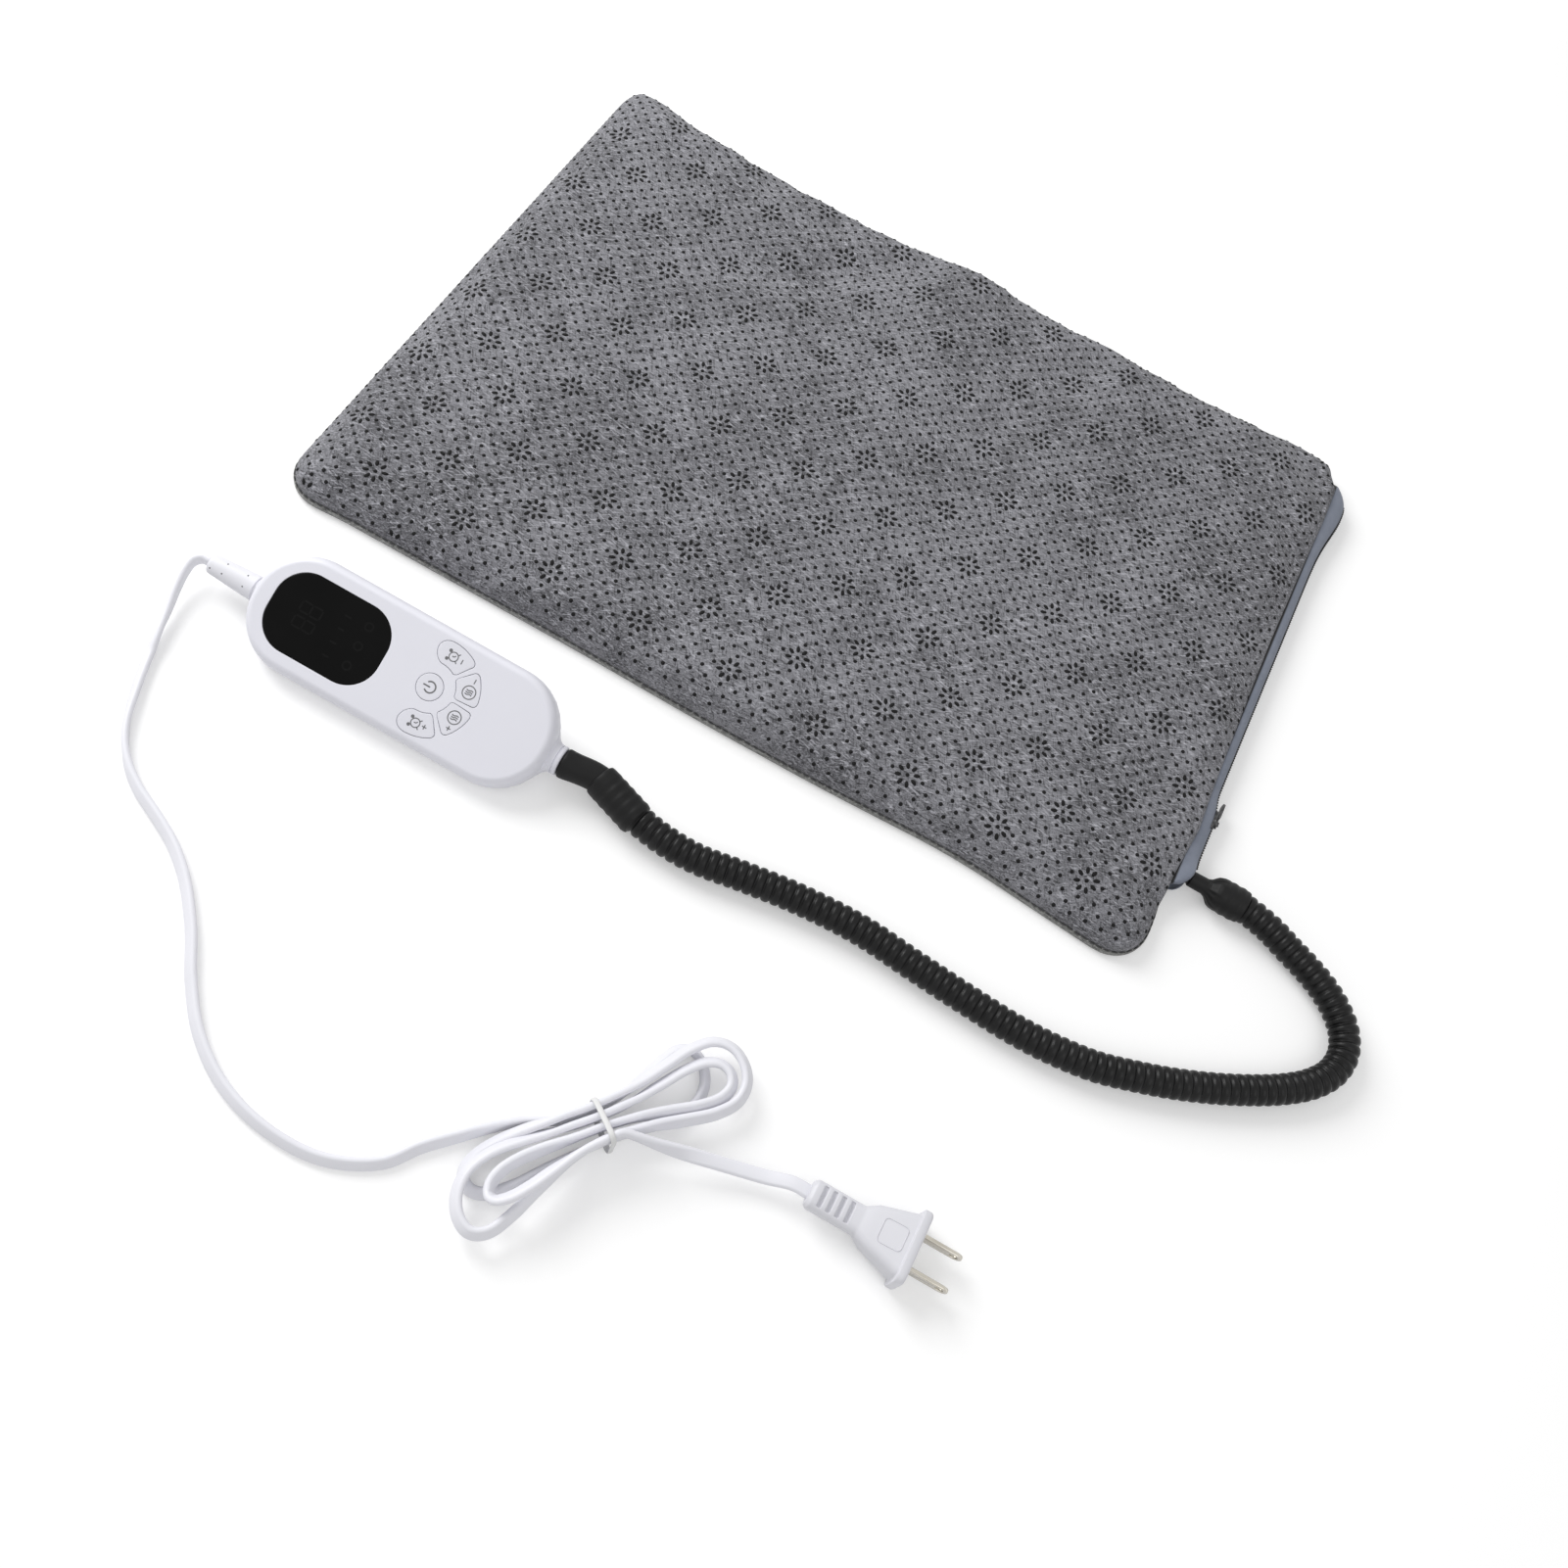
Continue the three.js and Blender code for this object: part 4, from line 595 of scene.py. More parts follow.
def softened(node, width, material, slot, segments=2):
    """A copy of a CAD node with its edges rounded, to stand in for it."""
    shape = bmesh.new()
    shape.from_mesh(frame["nodes"][node].data)
    bmesh.ops.remove_doubles(shape, verts=shape.verts, dist=1e-6)
    bmesh.ops.dissolve_limit(shape, angle_limit=math.radians(1), verts=shape.verts, edges=shape.edges)
    made = from_shape(node + "_dressed", shape, material)
    bevel = made.modifiers.new("edges", "BEVEL")
    bevel.width = width
    bevel.segments = segments
    bevel.limit_method = "ANGLE"
    bevel.angle_limit = math.radians(32)
    settled(made)
    made.data.shade_smooth()
    made.data.set_sharp_from_angle(angle=math.radians(35))
    body = next(b for b, members in frame["record"]["behaviour"]["bodies"].items() if node in members)
    return placed(made, slot, node, body=body)


plug_white = vinyl("plug_white", 0.71, 0.4)
plug = softened("plug_body", 0.0004, plug_white, "white_cord", 3)

# A thin raised frame is moulded on the plug's broad face.
frame_low, frame_high, frame_half, frame_round, frame_wire = 0.0275, 0.0367, 0.0046, 0.0016, 0.00022
plug_shoulder, plug_nose = (0.0245, 0.0060), (0.0390, 0.0075)
frame_turns = [(frame_high, 1, 0), (frame_low, 1, 90), (frame_low, -1, 180), (frame_high, -1, 270)]
frame_line = []
for along, side, low in frame_turns:
    for angle in np.radians(np.linspace(low, low + 90, 7)):
        x = along + frame_round * (math.cos(angle) + (-1 if along == frame_high else 1))
        y = side * (frame_half - frame_round) + frame_round * math.sin(angle)
        face = np.interp(x, *zip(plug_shoulder, plug_nose))
        frame_line.append(plug_start + Vector((x, y, face + 0.00003)))
frame_line.append(frame_line[0])
frame_line = evenly(np.array(frame_line), 0.0004)
plug_frame = swept("plug_face_frame", frame_line, lambda i: ring(frame_wire, 8), plug_white)
placed(plug_frame, "white_cord")

nickel = Finish("blade_nickel", Metallic=1.0)
rolled = nickel.noise(900, 3, stretch=(16, 1, 1))
nickel.colour(rolled.ramp(0.3, 0.7), (0.46, 0.43, 0.37, 1), (0.62, 0.59, 0.53, 1))
nickel.drive("Roughness", rolled * 0.2 + 0.16)
nickel.bump(rolled, 0.00001)
blades = [softened(f"plug_blade_{i}", 0.0003, nickel.material, "nickel") for i in (1, 2)]

# Felt cover: two panels of needled grey felt sewn together round the rim, drawn in along the long sides.
# The upper one is crowned over the heating bag and has a soft fold across its middle.
pad_half = (0.200, 0.150)
pad_corner = 0.018
felt_thickness = 0.0018
seam_height = 0.0039
seam_step = 0.0008
zip_seam_height = 0.0104
cover_height = 0.0116
crown_height, sway_height, ruck_height = 0.0014, 0.0009, 0.0003
fold_height, fold_width, fold_lift = 0.004, 0.024, 0.003
zip_front, zip_back = -0.109, 0.129
front_draw = [(-1, 0), (-0.91, 3), (-0.28, 3.9), (0, 3.2), (0.28, 3.8), (0.58, 6.4), (0.91, 1), (1, 0)]
back_draw = [
    (-1, 0), (-0.91, 4.5), (-0.58, 10.4), (-0.28, 10.6), (0, 8), (0.28, 5.2), (0.58, 3.6), (0.91, 0.8),
    (1, 0),
]


def drawn_in(knots, share):
    """Metres by which a long side is drawn in, on a smooth curve near knots in millimetres."""
    x, depth = zip(*knots)
    near = [np.interp(share + shift, x, depth) for shift in (-0.08, -0.04, 0, 0.04, 0.08)]
    return 0.001 * float(np.mean(near))


def zip_share(v):
    """1 along the zip, and 0 past its ends."""
    return step(v, zip_front - 0.013, zip_front - 0.003) * (1 - step(v, zip_back + 0.003, zip_back + 0.013))


def zip_draw(y):
    """Metres by which the felt's edge is drawn in along the zip: most in its middle and before the lead."""
    return 0.001 * float(np.interp(
        y, [-0.128, -0.107, -0.094, -0.080, -0.060, -0.035, 0.0, 0.030, 0.080, 0.110, 0.140],
        [0, 0.9, -0.4, -1.8, -0.8, -0.2, 0.5, 0.8, 0.2, -0.6, 0],
    ))


def fold_at(x):
    return bell(x, 0, fold_width)


def cover_plan(u, v, inset=0.0):
    """Where the point (u, v) of the flat panel lies in plan: corners are rounded, and sides drawn in."""
    half_x, half_y = pad_half[0] - inset, pad_half[1] - inset
    corner = pad_corner - inset
    u, v = u * half_x / pad_half[0], v * half_y / pad_half[1]
    cx = (abs(u) - half_x + corner) / corner
    cy = (abs(v) - half_y + corner) / corner
    x, y = u, v
    if cx > 0 and cy > 0:
        x = math.copysign(half_x - corner + corner * cx * math.sqrt(1 - cy * cy / 2), u)
        y = math.copysign(half_y - corner + corner * cy * math.sqrt(1 - cx * cx / 2), v)
    y -= math.copysign(drawn_in(back_draw if v > 0 else front_draw, x / half_x) * (v / half_y) ** 4, v)
    if u > 0:
        x -= zip_draw(v) * (u / half_x) ** 12
    return x, y


def back_lift(x, v):
    """The fold lifts the back edge off the table."""
    return fold_lift * fold_at(x) * max(0, 1 - (pad_half[1] - v) / 0.014)


def cover_top(u, v):
    x, y = cover_plan(u, v, seam_step)
    depth = min(pad_half[0] - abs(u), pad_half[1] - abs(v))
    rise = math.sqrt(1 - (1 - min(depth / pad_corner, 1)) ** 2)
    rim = seam_height + (zip_seam_height - seam_height) * (zip_share(v) if u > 0 else 0)
    across, deep = u / pad_half[0], v / pad_half[1]
    crown = crown_height * (1 - across**2) * (1 - deep**2)
    ridge = fold_height * fold_at(x) * (0.45 + 0.55 * (deep + 1) / 2)
    sway = sway_height * noise.noise((9 * x, 9 * y, 2.5))
    rucks = ruck_height * noise.noise((38 * x, 38 * y, 7.1))
    height = rim + (cover_height + felt_thickness - rim) * rise + crown + (ridge + sway + rucks) * rise
    return Vector((x, y, height + back_lift(x, v)))


def grid_lines(half, spacing):
    rim = [half - step_in for step_in in (0, 0.0007, 0.0018, 0.0034, 0.0056, 0.0085, 0.0125)]
    inner = np.linspace(-half + pad_corner, half - pad_corner, round(2 * (half - pad_corner) / spacing) + 1)
    return [*(-line for line in rim), *inner, *reversed(rim)]


columns = grid_lines(pad_half[0], 0.004)
rows = grid_lines(pad_half[1], 0.004)
cover_points = [cover_top(u, v) for v in rows for u in columns]
wide = len(columns)
cover_faces = [
    (r * wide + c, r * wide + c + 1, (r + 1) * wide + c + 1, (r + 1) * wide + c)
    for r in range(len(rows) - 1) for c in range(wide - 1)
]


def felt(name, pale, dark, tint):
    """Needled felt: cloudy grey with darker blotches, and fine pale and dark fibres, most along the pad."""
    finish = Finish(name, Specular_IOR_Level=0.15, Sheen_Weight=0.15, Sheen_Roughness=0.6)
    cloud = finish.noise(26, 4, roughness=0.62)
    blotch = finish.noise(150, 3, roughness=0.6)
    grain = finish.noise(2100, 3, roughness=0.7)
    fibres = [
        finish.noise(1550, 2, stretch=(1, 7, 1), turn=(0, 0, math.radians(turn)))
        for turn in (76, 98, 121, 28)
    ]
    pale_fibres = fibres[0].ramp(0.55, 0.68) + fibres[2].ramp(0.55, 0.68)
    dark_fibres = fibres[1].ramp(0.52, 0.66) + fibres[3].ramp(0.52, 0.66)
    cloudy = cloud.ramp(0.38, 0.6) * 0.6 + blotch.ramp(0.36, 0.62) * 0.4
    body = finish.mix(cloudy, grey(dark, tint), grey(pale, tint))
    body = finish.mix(grain.ramp(0.42, 0.66) * 0.55, body, grey(pale * 1.7, tint))
    body = finish.mix(dark_fibres * 0.7, body, grey(dark * 0.45, tint))
    finish.colour(pale_fibres * 0.55, body, grey(pale * 2.4, tint))
    finish.drive("Roughness", grain * 0.12 + 0.86)
    finish.bump(grain * 0.6 + pale_fibres * 0.3 + blotch * 0.4, 0.0006, 0.9)
    return finish.material


felt_top_grey = felt("felt_top_grey", 0.225, 0.072, 0.09)
top_panel = piece("felt_top_panel", cover_points, cover_faces, felt_top_grey)

# The sewn rim is held, and the felt, cut a little larger than its space, is let settle over its filling.
held = top_panel.vertex_groups.new(name="sewn")
last_row, last_column = len(rows) - 1, wide - 1
held.add([
    r * wide + c for r in range(len(rows)) for c in range(wide)
    if min(r, c, last_row - r, last_column - c) < 2
], 1.0, "REPLACE")
cloth = top_panel.modifiers.new("cloth", "CLOTH")
cloth.collision_settings.use_collision = False
cloth.settings.effector_weights.gravity = 0
for setting, value in {
    "quality": 6, "mass": 0.25, "tension_stiffness": 25, "compression_stiffness": 25,
    "shear_stiffness": 12, "bending_stiffness": 2.5, "air_damping": 3, "vertex_group_mass": "sewn",
    "shrink_min": -0.012, "use_pressure": True, "uniform_pressure_force": 0.8,
}.items():
    setattr(cloth.settings, setting, value)
for number in range(1, 21):
    scene.frame_set(number)
settled(top_panel)
scene.frame_set(1)
most_moved = 0.0022
for vertex, rest in zip(top_panel.data.vertices, cover_points):
    moved = vertex.co - rest
    vertex.co = rest + moved * (min(moved.length, most_moved) / max(moved.length, 1e-9))

finer = top_panel.modifiers.new("finer", "SUBSURF")
finer.levels = finer.render_levels = 1
thick = top_panel.modifiers.new("thick", "SOLIDIFY")
thick.thickness = felt_thickness
thick.offset = -1
settled(top_panel)
placed(top_panel, "felt_top", "cover_top_panel")

# Bottom panel: the same felt in a warmer grey, turned up round the rim to meet the upper panel at the seam.
outline = [
    *((u, -pad_half[1]) for u in columns), *((pad_half[0], v) for v in rows[1:]),
    *((u, pad_half[1]) for u in reversed(columns[:-1])), *((-pad_half[0], v) for v in reversed(rows[1:-1])),
]
rim_profile = metres((5.2, 1.8), (3, 3.4), (1.1, 3.7), (0.4, 3.6), (0, 3.1), (0, 1.4), (0.4, 0.4), (1.4, 0))
bottom_points = []
for inset, height in rim_profile:
    for u, v in outline:
        x, y = cover_plan(u, v, inset)
        at_zip = zip_share(v) if u == pad_half[0] else 0
        level = height - at_zip * max(0, height - felt_thickness)
        bottom_points.append((x, y, level + back_lift(x, v)))
around = len(outline)
bottom_faces = [
    tuple(range(around)), *(face[::-1] for face in bands(len(rim_profile), around)),
    tuple(reversed(range(len(bottom_points) - around, len(bottom_points)))),
]
felt_bottom_grey = felt("felt_bottom_grey", 0.27, 0.20, -0.03)
bottom_panel = piece("felt_bottom_panel", bottom_points, bottom_faces, felt_bottom_grey)
placed(bottom_panel, "felt_bottom", "cover_bottom_panel")

# Seam: a row of dark lockstitches where the two panels meet, with the thread lying along the rim.
thread = Finish("seam_thread", Roughness=0.7)
ply = thread.noise(2600, 2, stretch=(1, 1, 3))
thread.colour(ply, grey(0.03), grey(0.075))
thread.bump(ply, 0.0001)
seam_line = []
for u, v in outline:
    if u < pad_half[0] or zip_share(v) == 0:
        x, y = cover_plan(u, v, 0.6 * seam_step)
        seam_line.append((x, y, seam_height - 0.0001 + back_lift(x, v)))
seam_line = np.array(seam_line)
gap_at = int(np.argmax(np.linalg.norm(np.diff(seam_line, axis=0), axis=1))) + 1
seam_line = np.vstack([seam_line[gap_at:], seam_line[:gap_at]])
stitches = threaded("seam_stitches", seam_line)
tree, size = geometry_tree("stitch_row", {"Pitch": 0.0034, "Stitch": 0.0030, "Thread": 0.0007})
spine = tree.node("GeometryNodeMeshToCurve", {"Mesh": size["Geometry"]})
spots = tree.node("GeometryNodeCurveToPoints", {"Curve": spine, "Length": size["Pitch"]}, mode="LENGTH")
ball = tree.node("GeometryNodeMeshUVSphere", {"Segments": 6, "Rings": 5, "Radius": 1.0})
girth = size["Thread"] / 2
lengths = tree.node("ShaderNodeCombineXYZ", {"X": girth, "Y": girth, "Z": size["Stitch"] / 2})
laid = tree.node("GeometryNodeInstanceOnPoints", {
    "Points": spots, "Instance": ball, "Rotation": spots.output("Rotation"), "Scale": lengths,
})
grown(stitches, tree, laid, thread.material)
placed(stitches, "felt_top")

# Grip print: rows of small raised rubber dots at 45 degrees, with a flower of eight petals at every sixth
# place. They are printed on the felt and stand about 0.4 mm proud of it.
dot_step = (0.00347, 0.00354)
flower_steps = 6
flower_clear = 0.0066
dot_radius = 0.0009
petal_size = (0.0015, 0.00086)
petal_reach = 0.0039
print_proud = 0.00042
print_phase = (-0.1034, -0.0211)
print_turn = -0.0095
grip_black = rubber("grip_black", 0.004, 0.7, 3000)
spare_rows = 30
reach = [int(half / apart) + spare_rows for half, apart in zip(pad_half, dot_step)]
dots, petals = [], []
for i in range(-reach[0], reach[0] + 1):
    for j in range(-reach[1], reach[1] + 1):
        x = print_phase[0] + i * dot_step[0] - print_turn * j * dot_step[1]
        y = print_phase[1] + j * dot_step[1] + print_turn * i * dot_step[0]
        if (i + j) % 2 or abs(x) > pad_half[0] or abs(y) > pad_half[1]:
            continue
        near_i, near_j = (flower_steps * round(k / flower_steps) for k in (i, j))
        at_flower = (near_i + near_j) // flower_steps % 2 == 0
        gap = math.hypot(i - near_i, j - near_j) * dot_step[1]
        if gap == 0 and at_flower:
            petals += [(x, y, math.radians(45 * k + 22.5)) for k in range(8)]
        if not at_flower or gap == 0 or gap > flower_clear:
            dots.append((x, y, 0))

# Each mark is a dome, let down on the felt from above and turned to lie along it. None is on a steep rim.
print_from = 0.05
steepest = 0.42
for name, places, half_sizes, reach_out in (
    ("grip_dots", dots, (dot_radius, dot_radius, print_proud), 0.0),
    ("grip_flowers", petals, (*petal_size, print_proud), petal_reach),
):
    marks = piece(name, [(x, y, print_from) for x, y, _ in places], [], None)
    turn = marks.data.attributes.new("turn", "FLOAT", "POINT")
    turn.data.foreach_set("value", [angle for _, _, angle in places])
    tree, size = geometry_tree(name + "_print", {"Felt": top_panel, "Dome": half_sizes, "Reach": reach_out})
    angle = tree.node("GeometryNodeInputNamedAttribute", {"Name": "turn"}, data_type="FLOAT")
    out = tree.node("ShaderNodeCombineXYZ", {
        "X": angle.math("COSINE") * size["Reach"], "Y": angle.math("SINE") * size["Reach"],
    })
    spread = tree.node("GeometryNodeSetPosition", {"Geometry": size["Geometry"], "Offset": out})
    felt_mesh = tree.node("GeometryNodeObjectInfo", {"Object": size["Felt"]}, output="Geometry")
    above = tree.node("ShaderNodeVectorMath", {
        0: tree.node("GeometryNodeInputPosition"), 1: (0, 0, print_from),
    }, operation="ADD")
    hit = tree.node("GeometryNodeRaycast", {
        "Target Geometry": felt_mesh, "Source Position": above, "Ray Direction": (0, 0, -1),
        "Ray Length": 4 * print_from,
    })
    normal = hit.output("Hit Normal")
    kept = hit * (tree.node("ShaderNodeSeparateXYZ", {"Vector": normal}, output="Z") > steepest)
    landed = tree.node("GeometryNodeSetPosition", {
        "Geometry": spread, "Selection": kept, "Position": hit.output("Hit Position"),
    })
    upright = tree.node("FunctionNodeAxisAngleToRotation", {"Axis": (0, 0, 1), "Angle": angle})
    lying = tree.node("FunctionNodeAlignRotationToVector", {"Vector": normal}, axis="Z")
    posed = tree.node("FunctionNodeRotateRotation", {
        "Rotation": lying, "Rotate By": upright,
    }, rotation_space="LOCAL")
    dome = tree.node("GeometryNodeMeshUVSphere", {"Segments": 8, "Rings": 4, "Radius": 1.0})
    laid = tree.node("GeometryNodeInstanceOnPoints", {
        "Points": landed, "Selection": kept, "Instance": dome, "Rotation": posed, "Scale": size["Dome"],
    })
    placed(grown(marks, tree, laid, grip_black), "black_rubber")

# Zip: two woven tapes sewn under the rim at the right, bent round to meet, each with a row of coil teeth.
# They stand out in a bulge at the back, and part round the lead at the front.
zip_height = 0.0062
tape_thickness = 0.0006
tape_seam = 0.1985
tape_edge = 0.2002
tape_bend = 0.0035
tape_turn = math.radians(52)
lead_parting = {1: 0.0028, -1: -0.0016}
coil_x, coil_rise, coil_front, coil_back = 0.2036, 0.0009, -0.0963, 0.1268


def zip_bulge(y):
    back = 0.0038 * bell(y, 0.119, 0.021)
    open_end = 0.0026 * step(-y, 0.056, 0.074) * (1 - 0.5 * step(-y, 0.098, 0.110))
    return 0.0002 + back + open_end


def tape_end(y):
    """The tape's ends are cut round, so its reach falls off over the last few millimetres."""
    front = 1 - between(y, zip_front, zip_front + 0.008)
    back = between(y, zip_back - 0.006, zip_back + 0.006)
    return math.sqrt(1 - front**2) * math.sqrt(1 - back**2)


def zip_place(x, y, z, side):
    """Moves a point of the straight tape out with the bulge, and up or down where the lead passes."""
    share = between(x, tape_seam, tape_seam + 0.0045)
    reach = tape_seam + (x + share * zip_bulge(y) - tape_seam) * tape_end(y) if x > tape_seam else x
    parting = bell(y, hose_end.y, 0.0062)
    return Vector((reach, y, z + share * parting * lead_parting[side]))


tape_blue = Finish("zip_tape_blue", Specular_IOR_Level=0.2, Sheen_Weight=0.2)
where = tape_blue.node("ShaderNodeSeparateXYZ", {"Vector": tape_blue.place}, output="X")
lengthways = where.output("Y")
picks = (lengthways * (2 * math.pi / 0.0007)).math("SINE")
ends = (where * (2 * math.pi / 0.0009)).math("SINE")
weave = picks * ends * 0.5 + 0.5
shade = tape_blue.noise(160, 3)
woven = tape_blue.mix(weave * 0.45 + shade * 0.5, (0.13, 0.15, 0.19, 1), (0.26, 0.28, 0.34, 1))
# Next to the felt's edge the tape is painted near black: a painted shadow where the felt's edge shades the
# tape.
seam_shadow_share = 1 - where.ramp(0.1992, 0.2000)
tape_blue.colour(seam_shadow_share, woven, grey(0.02))
tape_blue.drive("Roughness", shade * 0.15 + 0.74)
tape_blue.bump(weave, 0.00012, 0.8)

tape_stops = np.arange(zip_front, zip_back + 0.0061, 0.0015)
bends = np.linspace(0, tape_turn, 9)
bend_centre = 0.0036 - tape_bend
for name, side in (("upper", 1), ("lower", -1)):
    layers = []
    for gauge in (tape_thickness / 2, -tape_thickness / 2):
        radius = tape_bend + gauge
        flat = [(x, bend_centre + radius) for x in (tape_seam - 0.004, tape_seam - 0.002, tape_seam)]
        bent = [(tape_edge + radius * math.sin(a), bend_centre + radius * math.cos(a)) for a in bends]
        layers.append(flat + bent)
    across = layers[0] + layers[1][::-1]
    points = [zip_place(x, y, zip_height + side * z, side) for y in tape_stops for x, z in across]
    count = len(across)
    faces = [face[::-side] for face in bands(len(tape_stops), count)]
    faces += [tuple(range(count))[::side], tuple(range(len(points) - count, len(points)))[::-side]]
    tape = piece(f"zip_tape_{name}_woven", points, faces, tape_blue.material)
    placed(tape, "zip_tape", f"zip_tape_{name}")

coil_black = rubber("zip_coil_black", 0.02, 0.4, 1800)
coil_pitch = 0.0013
tooth_size = (0.0016, 0.0010, 0.0015)
for name, side, shift in (("upper", 1, 0), ("lower", -1, 0.5)):
    coil_line = np.array([
        zip_place(coil_x, y, zip_height + side * coil_rise, side)
        for y in np.arange(coil_front + shift * coil_pitch, coil_back, coil_pitch)
    ])
    teeth = piece(f"zip_coil_{name}_teeth", coil_line, [], None)
    tree, size = geometry_tree(f"teeth_{name}", {"Tooth": tooth_size})
    tooth = tree.node("GeometryNodeMeshUVSphere", {"Segments": 8, "Rings": 6, "Radius": 0.5})
    laid = tree.node("GeometryNodeInstanceOnPoints", {
        "Points": size["Geometry"], "Instance": tooth, "Scale": size["Tooth"],
    })
    placed(grown(teeth, tree, laid, coil_black), "zip_coil", f"zip_coil_{name}")

zip_metal = Finish("zip_gunmetal", Metallic=0.85)
worn = zip_metal.noise(700, 3)
zip_metal.colour(worn.ramp(0.35, 0.65), grey(0.05, 0.03), grey(0.11, 0.03))
zip_metal.drive("Roughness", worn * 0.25 + 0.24)
zip_metal.bump(worn, 0.00002)
for node in ("zip_slider", "zip_pull", "zip_end_stop"):
    softened(node, 0.00022, zip_metal.material, "zip_metal", 3)

# Controller case: two shells of cool white ABS with a fine moulded texture, lying tipped on one facet.
# The upper shell has a rounded rim, an opening for the window, and one for each key.
case_length, case_width, case_corner = 0.131, 0.048, 0.023
face_height, rim_height, rim_reach, case_wall = 0.0095, 0.006, 0.0034, 0.0022
case_place = Vector((-0.1065, -0.1971, 0.010868))
case_matrix = Matrix.Translation(case_place) @ Matrix.Rotation(math.radians(25), 4, "X")
window_centre, window_size, window_corner = -0.0321, (0.049, 0.0327), 0.013
key_centre = 0.0135
fan_radii = (0.0102, 0.0195)


def rounded(length, width, corner, centre=0.0, steps=12, end_corner=None, sides=0):
    """A rounded rectangle in plan, counter-clockwise; its +X corners may be rounder, its sides divided."""
    points = []
    for quarter, (sx, sy) in enumerate(((1, 1), (-1, 1), (-1, -1), (1, -1))):
        radius = end_corner if end_corner and sx > 0 else corner
        for k in range(steps + 1):
            angle = math.pi / 2 * (quarter + k / steps)
            points.append((
                sx * (length / 2 - radius) + radius * math.cos(angle),
                sy * (width / 2 - radius) + radius * math.sin(angle),
            ))
    if sides:
        divided = []
        for k, ((x0, y0), (x1, y1)) in enumerate(zip(points, points[1:] + points[:1])):
            straight = k % (steps + 1) == steps
            count = max(1, round(math.hypot(x1 - x0, y1 - y0) / sides)) if straight else 1
            divided += [(x0 + (x1 - x0) * j / count, y0 + (y1 - y0) * j / count) for j in range(count)]
        points = divided
    return [(x + centre, y) for x, y in points]


def case_outline(grow):
    length, width, corner = case_length + 2 * grow, case_width + 2 * grow, case_corner + grow
    return rounded(length, width, corner, steps=20, sides=0.004)


def fan_key(span, side, end_corner):
    """The outline of a key in the fan round the power key: a rounded block bent from one angle to another."""
    middle = sum(fan_radii) / 2
    low, high = (math.radians(angle) for angle in span)

    def grown_outline(grow):
        block = rounded(
            (high - low) * middle + 2 * grow, fan_radii[1] - fan_radii[0] + 2 * grow, 0.0016 + grow,
            steps=6, end_corner=end_corner + grow, sides=0.0008,
        )
        bent = []
        for x, y in block:
            angle = side * ((low + high) / 2 + x / middle)
            bent.append((key_centre + (middle + y) * math.cos(angle), (middle + y) * math.sin(angle)))
        return bent if side < 0 else bent[::-1]

    return grown_outline


def power_outline(grow):
    return [(key_centre + x, y) for x, y in ring(0.0053 + grow, 48)]


def window_outline(grow):
    length, width = (side + 2 * grow for side in window_size)
    return rounded(length, width, window_corner + grow, window_centre, steps=16)


key_outlines = {"power": power_outline}
for sign, side in (("minus", 1), ("plus", -1)):
    key_outlines[f"heat_{sign}"] = fan_key((4, 45.5), side, 0.0016)
    key_outlines[f"timer_{sign}"] = fan_key((54, 108), side, 0.0044)


class Shell:
    """Rings of points joined into one mesh, in the controller's own frame."""

    def __init__(self):
        self.mesh = bmesh.new()

    def ring(self, outline, height):
        return [self.mesh.verts.new((x, y, height)) for x, y in outline]

    def join(self, first, second):
        count = len(first)
        for j in range(count):
            k = (j + 1) % count
            self.mesh.faces.new((first[j], first[k], second[k], second[j]))

    def eased(self, outline_at, grow, top, reach, depth, count):
        """Rings over an edge that turns in by reach while it rises by depth to its top."""
        return [
            self.ring(outline_at(grow - reach * (1 - math.cos(t))), top - depth * (1 - math.sin(t)))
            for t in np.linspace(0, math.pi / 2, count)
        ]

    def loft(self, rings):
        for first, second in zip(rings, rings[1:]):
            self.join(first, second)
        return rings

    def plate(self, outer, holes=()):
        edges = []
        for loop in (outer, *holes):
            for a, b in zip(loop, loop[1:] + loop[:1]):
                edges.append(self.mesh.edges.get((a, b)) or self.mesh.edges.new((a, b)))
        bmesh.ops.triangle_fill(self.mesh, use_beauty=True, edges=edges)

    def closed(self, rings):
        self.loft(rings)
        self.plate(rings[-1])
        self.plate(rings[0])

    def finish(self, name, material):
        bmesh.ops.recalc_face_normals(self.mesh, faces=self.mesh.faces)
        made = from_shape(name, self.mesh, material)
        made.data.transform(case_matrix)
        made.data.shade_smooth()
        made.data.set_sharp_from_angle(angle=math.radians(60))
        return made


def moulded(name, level, roughness):
    """White ABS: an even cool white with a spark-eroded grain that breaks up its gloss."""
    finish = Finish(name, Specular_IOR_Level=0.45)
    cloud = finish.noise(30, 2)
    grain = finish.noise(4200, 2)
    finish.colour(cloud.ramp(0.2, 0.8), grey(level * 0.975, 0.08), grey(level, 0.08))
    finish.drive("Roughness", grain * 0.12 + (roughness - 0.06))
    finish.bump(grain, 0.00002)
    return finish.material


